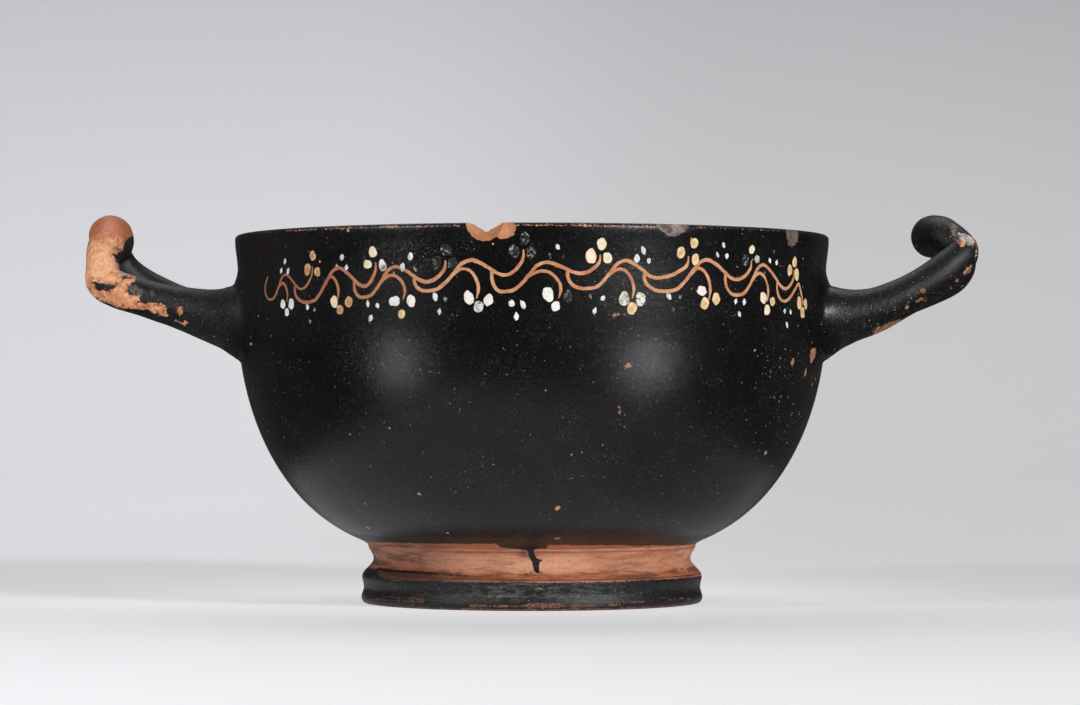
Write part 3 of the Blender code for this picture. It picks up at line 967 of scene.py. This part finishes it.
    # Small relief: the rings of the wheel, scratches at the handle roots, and glossy lumps on the bare crest.
    drift = f.vector("MULTIPLY_ADD", f.where, (0.02, 0.02, 0.0), f.node("CombineXYZ", (reach * MM, z)))
    scratches = f.noise(0.45, 2.0, 0.6, f.stretched(1.0, 0.12)) * (on_handle * abs(x).step(0.088, 0.078))
    height = f.noise(1.3, 4.0, 0.6, drift) * off_handle * 0.42 + fine * 0.5 + scratches * 1.6
    height = height + grain * (ends * 0.9 + 0.55) + clay * -0.8 + coarse * clay * 0.9 + fine * clay * 0.9
    height = f.blend(crest, height, f.noise(1.5, 2.0, 0.5) * 14.0)
    return f.done(f.mix(clay, coat, bare_colour), f.blend(clay, satin, matt), height, 0.075)


def broken_clay():
    f = Finish("fresh_break")
    grain = f.noise(0.9, 5.0, 0.7)
    colour = f.layers(
        f.mix(f.noise(3.0, 4.0).step(0.35, 0.65), (208, 138, 96), (224, 162, 118)),
        (grain.step(0.58, 0.75) * 0.7, (168, 104, 74)),
    )
    return f.done(colour, grain * 0.2 + 0.68, grain, 0.22)


def old_break():
    f = Finish("old_break")
    grain = f.noise(0.8, 5.0, 0.7)
    colour = f.layers(
        f.mix(f.noise(1.8, 4.0).step(0.38, 0.62), (104, 90, 82), (166, 150, 138)),
        (f.noise(2.6, 3.0).step(0.54, 0.66) * 0.75, (190, 136, 108)),
        (f.noise(0.32, 3.0, 0.7).step(0.54, 0.66), (74, 60, 54)),
        (f.split(f.where)[0].step(0.045, 0.055, 0.0, 0.55), (58, 48, 44)),
    )
    return f.done(colour, grain * 0.2 + 0.66, grain, 0.2)


def slip(name, first, second, core, worn, worn_shade):
    """Added clay colour laid on the gloss, with a tinted core if it has one, and worn through in places."""
    f = Finish(name)
    grain = f.noise(0.5, 4.0, 0.65)
    colour = f.mix(f.noise(1.6, 4.0).step(0.35, 0.65), first, second)
    if core:
        ring = f.field("out").step(0.55, 0.2) * f.noise(0.8, 3.0).step(0.42, 0.6)
        colour = f.mix(ring * 0.8, colour, core)
    lost = f.noise(0.75, 5.0, 0.72).step(0.74 - 0.34 * worn, 0.78 - 0.34 * worn)
    lost = lost | f.specks(0.55, 0.12, 0.03, 0.1)
    return f.done(f.mix(lost, colour, worn_shade), grain * 0.2 + 0.58, lost * -0.8 + grain, 0.06)


def stem_slip():
    """The orange of the stem, browner towards the left of the front and along some stretches."""
    f = Finish("stem_slip")
    grain = f.noise(0.45, 4.0, 0.7)
    colour = f.layers(
        f.mix(f.noise(2.2, 4.0).step(0.35, 0.65), (206, 140, 96), (226, 168, 124)),
        (f.noise(5.5, 2.0, 0.5).step(0.5, 0.68) * 0.55, (176, 98, 66)),
        (f.split(f.where)[0].step(-0.012, -0.052) * 0.75, (164, 98, 70)),
        (grain.step(0.6, 0.72), (120, 70, 48)),
    )
    return f.done(colour, grain * 0.2 + 0.6, grain, 0.06)


# ---------------------------------------------------------------- garland

# A stroke of slip: its width, how far it stands proud, and its section as shares of both.
STROKE = 0.77
STROKE_LIFT = 0.10
STROKE_SECTION = ((-0.5, -0.25), (-0.5, 0.35), (-0.27, 1.0), (0.27, 1.0), (0.5, 0.35), (0.5, -0.25))
# A dab of slip: how deep its foot is sunk, the share of its size and the height of each ring, the height of its
# middle, and the points round it.
SUNK = -0.3
DAB_RINGS = ((1.0, SUNK), (1.0, 0.03), (0.8, 0.1), (0.45, 0.13))
DAB_TOP = 0.14
DAB_POINTS = 22
# The length of one degree round the bowl.
DEGREE = math.radians(1.0) * BOWL_RADIUS
# Each curl of the stem: its low point, its high point, the dip after it, its curled tip (each by its azimuth and
# height), and the azimuth of its hanging tip.
CURLS = (
    (-58.3, 70.5, -52.9, 76.0, -48.0, 72.6, -44.8, 77.6, -52.5),
    (-45.6, 69.6, -37.9, 77.0, -32.1, 72.8, -29.6, 78.0, -38.3),
    (-32.0, 70.4, -25.4, 77.0, -19.3, 73.6, -15.7, 78.2, -23.9),
    (-18.8, 71.6, -10.7, 78.2, -4.8, 74.9, -1.4, 80.5, -9.9),
    (-4.6, 71.3, 2.8, 77.7, 9.0, 75.3, 12.5, 79.4, 4.9),
    (10.4, 72.0, 17.4, 78.2, 23.2, 74.5, 29.9, 79.4, 18.5),
    (25.6, 71.6, 34.1, 78.7, 40.9, 74.5, 45.0, 79.0, 34.4),
    (41.6, 71.1, 48.5, 78.0, 55.5, 72.9, 59.1, 77.3, 49.6),
)
FIRST_END = (-59.6, 75.8)
FIRST_BEND = [(-60.8, 73.6), (-60.5, 71.8), (-59.5, 70.7)]
LAST_CURL = (55.8, 70.1, 61.0, 74.2, 62.8)
HANGING_HEIGHT = 69.8
# The bends of a stem and of its tendril, as shares across and up between two corners.
TO_LOW = ((-0.02, 0.36), (0.13, 0.72), (0.5, 0.97))
TO_HIGH = ((0.2, 0.06), (0.38, 0.26), (0.6, 0.62), (0.78, 0.9))
TO_DIP = ((0.3, 0.24), (0.56, 0.58), (0.8, 0.9))
TO_TIP = ((0.34, 0.07), (0.7, 0.3), (0.96, 0.62))
TO_CROWN = ((0.4, 0.58), (0.7, 0.88))
TO_HANGING = ((0.42, 0.05), (0.78, 0.2), (1.06, 0.44), (1.14, 0.7))
LAST_TO_HIGH = ((0.4, 0.3), (0.72, 0.68))
LAST_TO_HANGING = ((0.45, 0.3), (0.85, 0.65))
FORK = ((0.56, 0.52),)
NEXT_FORK = ((0.62, 0.66),)
# One letter a berry, for its slip. Upper: top, left, right. Lower: bottom, left, right.
UPPER_BERRIES = ("ttt", "ccb", "ggg", "ggg", "ccc", "yyy", "cgb", "yyy")
LOWER_BERRIES = ("www", "tct", "yww", "bww", "wwg", "ybb", "ywy", "ccy", "yyy")
# One mark a berry for its size, and the half width and half height of each mark.
UPPER_SIZES = ("343", "324", "444", "454", "453", "333", "251", "444")
LOWER_SIZES = ("123", "243", "1w4", "354", "264", "455", "4w4", "342", "454")
BERRY_SIZES = {
    "1": (0.82, 0.92),
    "2": (0.96, 1.04),
    "3": (1.0, 1.2),
    "4": (1.05, 1.35),
    "5": (1.12, 1.52),
    "6": (1.16, 1.8),
    "w": (1.28, 1.08),
}
# How far painted berries stray from their places: the row and number, then across and up for each of three.
STRAYS = {
    "upper1": ((0.0, 0.0), (0.3, -0.3), (0.0, -0.6)),
    "upper2": ((-0.7, 0.0), (0.0, 0.0), (0.1, 0.0)),
    "upper6": ((0.8, 0.6), (0.0, 1.1), (0.1, 0.0)),
    "upper7": ((-0.3, 0.0), (0.0, 0.2), (0.2, 0.9)),
    "upper8": ((0.0, -0.6), (0.0, 0.2), (-0.2, -0.4)),
    "lower1": ((0.0, -0.2), (0.1, -0.5), (-0.2, -0.4)),
    "lower2": ((0.6, 0.0), (0.6, -0.3), (1.1, -0.3)),
    "lower3": ((-0.3, -1.1), (-0.3, -0.4), (0.0, -0.3)),
    "lower4": ((0.4, 0.3), (0.0, 0.2), (0.6, -0.2)),
    "lower5": ((-0.5, 0.4), (-0.4, 0.9), (0.1, 0.6)),
    "lower7": ((-0.9, 1.3), (-0.1, 2.0), (0.1, 0.4)),
    "lower8": ((0.0, 0.2), (0.3, 0.8), (0.1, 0.2)),
}
NO_STRAYS = ((0.0, 0.0),) * 3
# Small triple dots, by their place from the high point or the low point of a curl.
DOTS_ABOVE = ((-0.5, 1.5), (0.6, 0.8), (2.7, 0.5), None, (1.9, 2.0), (3.2, 0.9), (3.5, 1.7), (3.0, 1.4))
MARKS_ABOVE = ("sss", "sds", "bbd", "", "sdd", "bbs", "sss", "dss")
MARKS_BELOW = ("", "dsd", "sss", "sbd", "bbb", "sds", "dsd", "sss", "sss")
DOTS_BELOW = (
    None, (0.2, -2.3), (1.5, -2.5), (2.0, -2.5), (2.0, -3.5), (1.3, -2.8), (1.2, -2.0), (0.3, -2.3), (0.7, -3.2),
)
# The places of three berries round a tip, and of three dots.
ABOVE_TIP = ((0.2, 2.3), (-1.7, -0.4), (1.35, -0.7))
BELOW_TIP = ((0.0, -2.1), (-1.45, 0.0), (1.6, -0.1))
TRIPLE_UP = ((0.1, 1.5), (-1.2, -0.5), (1.1, -0.9))
TRIPLE_DOWN = ((-0.1, -2.0), (-0.9, 1.0), (1.2, 0.8))
# The plainer run on the back: how many curls, and the degrees from one to the next.
BACK_CURLS = 8
BACK_PITCH = 15.2
# Each slip: its letter, its piece, its material, its two shades, the shade of its core, how worn it is, and the
# shade that shows where it is worn.
SLIPS = (
    ("y", "yellow_berries", "yellow_slip", (226, 188, 132), (250, 222, 172), (196, 142, 88), 0.12, (120, 84, 52)),
    ("t", "tan_berries", "tan_slip", (190, 140, 92), (232, 196, 146), (150, 98, 60), 0.2, (96, 66, 44)),
    ("c", "cream_berries", "cream_slip", (244, 222, 180), (255, 242, 212), None, 0.16, (110, 90, 66)),
    ("w", "white_berries", "white_slip", (240, 234, 220), (255, 252, 244), None, 0.3, (96, 88, 80)),
    ("b", "broken_berries", "broken_slip", (196, 190, 176), (252, 248, 236), None, 0.55, (54, 48, 42)),
    ("g", "worn_berries", "worn_slip", (44, 44, 45), (206, 206, 204), None, 0.92, (20, 20, 21)),
    ("s", "small_dots", "dot_slip", (216, 218, 218), (250, 252, 252), None, 0.4, (84, 84, 84)),
    ("d", "dull_dots", "dull_slip", (104, 104, 104), (196, 194, 190), None, 0.75, (40, 40, 40)),
)


def through(corners, bends):
    """A route through the corners, with a bend between each two."""
    route = [corners[0]]
    for start, end, shares in zip(corners, corners[1:], bends):
        route += along(start, end, shares) + [end]
    return route


def curl_strokes(before, curl):
    """The wandering stem of one curl, the tendril that hangs from it, and where the next stem forks off."""
    low, high, dip, tip = curl[0:2], curl[2:4], curl[4:6], curl[6:8]
    stem = through((before, low, high, dip, tip), (TO_LOW, TO_HIGH, TO_DIP, TO_TIP))
    (fork,) = along(low, high, FORK)
    crown = (fork[0] + 0.44 * (curl[8] - fork[0]), high[1] - 1.9)
    tendril = through((fork, crown, (curl[8], HANGING_HEIGHT)), (TO_CROWN, TO_HANGING))
    return stem, tendril, along(high, dip, NEXT_FORK)[0]


def on_wall(azimuth, height, lift):
    return place(azimuth, radius_at(OUTER_LINE, height) + lift, height)


def ribbon(points, faces, route, width, start_share, seed):
    """A low rounded stroke of slip along a route of azimuths and heights."""
    line = np.array(smooth_path([Vector((azimuth * DEGREE, height)) for azimuth, height in route], 7))
    run = np.gradient(line, axis=0)
    run /= np.linalg.norm(run, axis=1)[:, None]
    gone = np.concatenate([[0.0], np.cumsum(np.linalg.norm(np.diff(line, axis=0), axis=1))])
    around, first = len(STROKE_SECTION), len(points)
    for here, way, passed in zip(line, run, gone):
        near_start = min(1.0, start_share + (1.0 - start_share) * passed / 1.2)
        near_end = min(1.0, 0.34 + 0.66 * (gone[-1] - passed) / 2.2)
        full = width * near_start * near_end
        for side, rise in STROKE_SECTION:
            edge = 9.0 if side < 0 else 3.0
            jag = 1.0 + 0.3 * noise.noise(Vector((passed / 0.42, edge, seed)))
            jag += 0.26 * noise.noise(Vector((passed / 2.6, edge, seed + 20.0)))
            spot = here + np.array((-way[1], way[0])) * (side * full * jag)
            points.append(on_wall(spot[0] / DEGREE, spot[1], STROKE_LIFT * rise if rise > 0 else SUNK))
    last = len(points) - around
    for start in range(first, last, around):
        faces += ring_faces(start, around)
    faces += [tuple(range(first, first + around))[::-1], tuple(range(last, last + around))]


def dab(points, faces, outs, azimuth, height, width, tall, power, tilt, seed):
    """A low dome of slip with an uneven edge, its outline between round and pointed."""
    faces += closed_faces(len(points), DAB_POINTS, len(DAB_RINGS))
    for share, lift in DAB_RINGS:
        for index in range(DAB_POINTS):
            turn = 2.0 * math.pi * index / DAB_POINTS
            c, s = math.cos(turn), math.sin(turn)
            rim = (abs(c) ** power + abs(s) ** power) ** (-1.0 / power)
            rim *= 1.0 + 0.2 * noise.noise(Vector((1.2 * c + seed, 1.2 * s, seed)))
            rim *= 1.0 + 0.09 * noise.noise(Vector((3.6 * c + seed, 3.6 * s, seed + 9.0)))
            u, v = share * rim * c * width, share * rim * s * tall
            u, v = u * math.cos(tilt) - v * math.sin(tilt), u * math.sin(tilt) + v * math.cos(tilt)
            points.append(on_wall(azimuth + u / DEGREE, height + v, lift))
            outs.append(share)
    points += [on_wall(azimuth, height, SUNK), on_wall(azimuth, height, DAB_TOP)]
    outs += [0.0, 0.0]


class Garland:
    """Collects the strokes, berries and dots by kind of slip."""

    def __init__(self):
        self.stems = ([], [])
        self.dabs = {letter: ([], [], []) for letter in "ytcwgbsd"}

    def berry(self, letter, azimuth, height, size="3"):
        width, tall = BERRY_SIZES[size]
        shape = width * random.uniform(0.95, 1.05), tall * random.uniform(0.95, 1.05), random.uniform(1.8, 2.5)
        dab(*self.dabs[letter], azimuth, height, *shape, random.uniform(-0.3, 0.3), random.random() * 50)

    def dot(self, azimuth, height, mark="s"):
        grown = {"s": 1.0, "b": 1.28, "d": 0.78}[mark]
        shape = random.uniform(0.42, 0.56) * grown, random.uniform(0.62, 0.84) * grown, random.uniform(1.15, 1.8)
        tilt = random.uniform(-0.5, 0.5)
        dab(*self.dabs["d" if mark == "d" else "s"], azimuth, height, *shape, tilt, random.random() * 50)

    def berries(self, place_of, spots, letters, sizes="333", strays=NO_STRAYS):
        for spot, letter, size, stray in zip(spots, letters, sizes, strays):
            self.berry(letter, place_of[0] + spot[0] + stray[0], place_of[1] + spot[1] + stray[1], size)

    def dots(self, place_of, spots, marks):
        for spot, mark in zip(spots, marks):
            shift = random.uniform(-0.15, 0.15), random.uniform(-0.2, 0.2)
            self.dot(place_of[0] + spot[0] + shift[0], place_of[1] + spot[1] + shift[1], mark)

    def stroke(self, route, width, start_share):
        ribbon(*self.stems, route, width, start_share, random.random() * 50)


def paint_front(garland):
    before = FIRST_END
    for index, curl in enumerate(CURLS):
        stem, tendril, fork = curl_strokes(before, curl)
        if index == 0:
            stem[1:4] = FIRST_BEND
        garland.stroke(stem, STROKE * (0.72 if index == 0 else 1.0), 0.5 if index == 0 else 1.0)
        garland.stroke(tendril, STROKE * 0.9, 1.0)
        strays = STRAYS.get(f"upper{index + 1}", NO_STRAYS)
        garland.berries(curl[6:8], ABOVE_TIP, UPPER_BERRIES[index], UPPER_SIZES[index], strays)
        before = fork
    corners = (before, LAST_CURL[0:2], LAST_CURL[2:4], (LAST_CURL[4], HANGING_HEIGHT))
    garland.stroke(through(corners, (TO_LOW, LAST_TO_HIGH, LAST_TO_HANGING)), STROKE * 0.85, 1.0)
    tips = (*[curl[8] for curl in CURLS], LAST_CURL[4])
    for index, azimuth in enumerate(tips):
        strays = STRAYS.get(f"lower{index + 1}", NO_STRAYS)
        garland.berries((azimuth, HANGING_HEIGHT), BELOW_TIP, LOWER_BERRIES[index], LOWER_SIZES[index], strays)
    highs, lows = [curl[2:4] for curl in CURLS], [curl[0:2] for curl in (*CURLS, LAST_CURL)]
    above = zip(highs, DOTS_ABOVE, MARKS_ABOVE, [TRIPLE_UP] * len(highs))
    below = zip(lows, DOTS_BELOW, MARKS_BELOW, [TRIPLE_DOWN] * len(lows))
    for corner, offset, marks, spots in (*above, *below):
        if offset:
            garland.dots((corner[0] + offset[0], corner[1] + offset[1]), spots, marks)


def paint_back(garland):
    """The same stem in an even, plainer run, with berries and no small dots."""
    begin = 180.0 - 0.5 * BACK_CURLS * BACK_PITCH
    before = (begin - 3.0, 75.4)
    for index in range(BACK_CURLS):
        middle = begin + index * BACK_PITCH + random.uniform(-0.5, 0.5)
        rise = random.uniform(-0.5, 0.5)
        corners = ((0.0, 70.9), (7.2, 77.7), (13.2, 74.3), (16.7, 79.0))
        curl = *(part for shift, height in corners for part in (middle + shift, height + rise)), middle + 8.2
        stem, tendril, before = curl_strokes(before, curl)
        garland.stroke(stem, STROKE * 0.95, 0.6 if index == 0 else 1.0)
        garland.stroke(tendril, STROKE * 0.9, 1.0)
        garland.berries(curl[6:8], ABOVE_TIP, "yyy" if index % 3 else "ywc")
        garland.berries((curl[8], HANGING_HEIGHT), BELOW_TIP, "wcy" if index % 2 else "ycy", "243")


def finish_piece(piece, crease):
    piece.data.shade_smooth()
    piece.data.set_sharp_from_angle(angle=math.radians(crease))
    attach(piece, "root")


def laid_piece(name, material, points, faces, outs=None):
    piece = object_from(name, points, faces, material)
    if outs is not None:
        add_field(piece, "out", outs)
    finish_piece(piece, SLIP_CREASE)


# ---------------------------------------------------------------- the pieces

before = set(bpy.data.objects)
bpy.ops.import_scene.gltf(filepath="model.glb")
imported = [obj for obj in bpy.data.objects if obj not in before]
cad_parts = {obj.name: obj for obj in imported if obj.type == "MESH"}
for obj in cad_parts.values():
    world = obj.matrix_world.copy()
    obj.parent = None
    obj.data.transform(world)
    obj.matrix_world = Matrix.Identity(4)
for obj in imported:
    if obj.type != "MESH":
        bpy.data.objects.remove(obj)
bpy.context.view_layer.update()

GLOSS = gloss_ware()
FRESH = broken_clay()
OLD = old_break()

body = turned_body(GLOSS)
right_handle = rolled_handle("right_roll", RIGHT_PATH, 0.1, 11.0, GLOSS)
left_handle = rolled_handle("left_roll", LEFT_PATH, 0.34, 23.0, GLOSS)
add_boolean(body, right_handle, "UNION")
add_boolean(body, left_handle, "UNION")
joined = settled(body, "joined")
soften_seams(joined)
hollow = object_from("hollow", *turned_mesh(INNER, CAVITY_TURN_STEPS), GLOSS)
add_boolean(joined, hollow, "DIFFERENCE")
cutters = []
for chip_name, chip in CHIPS.items():
    cutters.append(chip_cutter(chip_name + "_cut", chip, OLD if chip_name in OLD_BREAKS else FRESH))
    add_boolean(joined, cutters[-1], "DIFFERENCE")
cup = settled(joined, "fired_clay_cup")
for helper in (body, right_handle, left_handle, joined, hollow, *cutters):
    bpy.data.objects.remove(helper, do_unlink=True)
store_fields(cup)
finish_piece(cup, CUP_CREASE)
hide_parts("cup_skyphos")

garland = Garland()
paint_front(garland)
paint_back(garland)
laid_piece("garland_stems", stem_slip(), *garland.stems)
for letter, piece_name, *look in SLIPS:
    laid_piece(piece_name, slip(*look), *garland.dabs[letter])


# ---------------------------------------------------------------- stage, lights and camera

# The world's light from all round and from overhead.
ROOM_LIGHT = 0.055
OVERHEAD_LIGHT = 0.15
# The floor and the backdrop: how far they run, where the sweep starts, its size, its half width and its top.
FLOOR_END = 4000.0
SWEEP_START = 1300.0
SWEEP = 1100.0
SWEEP_STEPS = 32
HALF_WIDTH = 1300.0
BACKDROP_TOP = 3000.0
# The part of the floor that the gloss mirrors: its left and right, then y and z of its front and of its back.
TABLE = (-104.0, 105.0, (-165.0, 0.0), (80.0, 0.0))
# How much the table and the backdrop glow, which is painted light, and how much more the table glows round the cup,
# where the glow fills in the cup's shadow.
TABLE_GLOW = 0.28
WALL_GLOW = 0.02
SHADOW_FILL_GLOW = 1.2
MID_CUP = (0.0, 0.0, 0.05)


def ground_finish(name, right_shade, left_shade, start, end, shadow_fill_glow):
    """Pale paper whose glow is painted light, stronger towards the front and round the cup, where it fills in the
    cup's shadow. It is painted a little lighter on the left, and paler towards the floor.
    """
    f = Finish(name)
    x, y, z = f.split(f.where)
    upright = z.step(0.0, 0.9)
    # Painted light: the backdrop and the floor are lighter on the left.
    leaning = f.math("MULTIPLY_ADD", x, -0.9, 0.5, clamp=True)
    away = f.vector("LENGTH", f.vector("MULTIPLY", f.where, (10.5, 8.5, 0.0)))
    shadow_fill = f.math("EXPONENT", away * away * -1.0) * y.step(-0.12, -0.01)
    glow = shadow_fill * shadow_fill_glow + y.step(0.02, -0.32, 1.0, 1.6)
    floor = f.mix(x.step(start, end), left_shade, right_shade)
    colour = f.mix(upright, floor, f.mix(leaning, (180, 180, 185), (206, 207, 212)))
    f.feed(f.shader["Emission Color"], colour)
    f.feed(f.shader["Emission Strength"], glow * f.blend(upright, TABLE_GLOW, WALL_GLOW))
    f.feed(f.shader["Specular IOR Level"], 0.2)
    return f.done(colour, 0.85, f.noise(3.0, 2.0), 0.02)


def stage_mesh(name, material, strips):
    """Joined strips, each given by its left and right and by the y and z of its near and far edge."""
    points, faces = [], []
    for left, right, near, far in strips:
        faces.append(tuple(range(len(points), len(points) + 4)))
        points += [(left, *near), (right, *near), (right, *far), (left, *far)]
    made = object_from(name, points, faces, material)
    merged = bmesh.new()
    merged.from_mesh(made.data)
    bmesh.ops.remove_doubles(merged, verts=merged.verts, dist=1e-6)
    merged.to_mesh(made.data)
    merged.free()
    made.data.shade_smooth()
    return made


def pale_ground():
    """A floor that sweeps up into a backdrop. The gloss mirrors only the table just under it, a darker copy of the
    floor that is painted shade in the reflections.
    """
    material = ground_finish("pale_ground", (224, 224, 226), (243, 243, 246), -0.165, 0.165, SHADOW_FILL_GLOW)
    # A darker copy of the floor, seen only in the gloss: painted shade in the cup's reflections of the floor.
    dull = ground_finish("shaded_mirror_table", (140, 140, 143), (176, 176, 178), 0.0, 0.07, 0.0)
    table = stage_mesh("table", dull, [TABLE])
    table.location.z = -0.02 * MM
    table.visible_camera = table.visible_diffuse = table.visible_shadow = False

    turns = [0.5 * math.pi * step / SWEEP_STEPS for step in range(SWEEP_STEPS + 1)]
    sweep = [(SWEEP_START + SWEEP * math.sin(turn), SWEEP * (1.0 - math.cos(turn))) for turn in turns]
    sweep.append((SWEEP_START + SWEEP, BACKDROP_TOP))
    begin, end = (SWEEP_START, 0.0), (FLOOR_END, 0.0)
    strips = [(-FLOOR_END, FLOOR_END, (-FLOOR_END, 0.0), begin)]
    strips += [(-HALF_WIDTH, HALF_WIDTH, near, far) for near, far in zip(sweep, sweep[1:])]
    strips += [(-FLOOR_END, -HALF_WIDTH, begin, end), (HALF_WIDTH, FLOOR_END, begin, end)]
    ground = stage_mesh("ground", material, strips)
    ground.visible_glossy = ground.visible_shadow = False


def softbox(name, azimuth, rise, distance, size, power, aim=MID_CUP, spread=180.0, colour=(1.0, 1.0, 1.0)):
    """An area light, placed by its azimuth, its rise above the floor and its distance in metres."""
    data = bpy.data.lights.new(name, "AREA")
    data.shape = "RECTANGLE"
    data.size, data.size_y = size
    data.energy, data.color, data.spread = power, colour, math.radians(spread)
    box = linked(name, data)
    turn = math.radians(rise)
    box.location = place(azimuth, distance * math.cos(turn), distance * math.sin(turn))
    box.rotation_euler = (Vector(aim) - box.location).to_track_quat("-Z", "Y").to_euler()
    box.visible_camera = False


def studio_world():
    """Soft light from overhead, and a dim room all round. The camera sees it as pale as the backdrop."""
    world = bpy.data.worlds.new("studio")
    world.use_nodes = True
    f = Nodes(world.node_tree)
    rise = f.split(f.where.beside("Generated"))[2].step(0.15, 0.8, ROOM_LIGHT, OVERHEAD_LIGHT)
    background = f.tree.nodes["Background"].inputs
    f.feed(background["Color"], (0.97, 0.98, 1.0, 1.0))
    f.feed(background["Strength"], f.blend(f.node("LightPath", output="Is Camera Ray"), rise, 0.6))
    return world


pale_ground()
bpy.context.scene.world = studio_world()
bpy.context.scene.view_settings.view_transform = "Standard"

# Name, azimuth, rise, distance, size and power, then for some where they point, how wide they spread, and a tint.
for light in (
    ("key_right", 42.0, 24.0, 1.4, (0.25, 0.25), 9.0),
    ("spark_left", -50.0, 26.0, 1.4, (0.25, 0.25), 3.6),
    ("soft_left", -55.0, 26.0, 1.5, (1.0, 0.7), 0.8),
    ("back_top", 180.0, 60.0, 1.5, (1.2, 0.7), 3.0),
    ("backdrop_light", 180.0, 55.0, 2.0, (2.0, 0.5), 8.4, (0.0, 2.4, 0.2)),
    ("low_left", -44.7, 5.2, 0.204, (0.012, 0.028), 0.0012, (-0.03, -0.062, 0.057), 50.0),
    ("low_right", 38.5, 5.2, 0.205, (0.036, 0.028), 0.0022, (0.026, -0.064, 0.057), 50.0, (0.92, 0.96, 1.0)),
    ("crest_spark", -22.0, 20.6, 0.369, (0.02, 0.02), 0.0016, (-0.101, -0.02, 0.08), 18.0),
):
    softbox(*light)

camera_data = bpy.data.cameras.new("camera")
camera_data.lens = 121.7
camera_data.sensor_width = 36.0
camera_data.clip_start = 0.02
camera = linked("camera", camera_data)
camera.location = (0.0019, -0.865, 0.0467)
camera.rotation_euler = (math.radians(90.0 + 0.815), 0.0, 0.0)
bpy.context.scene.camera = camera
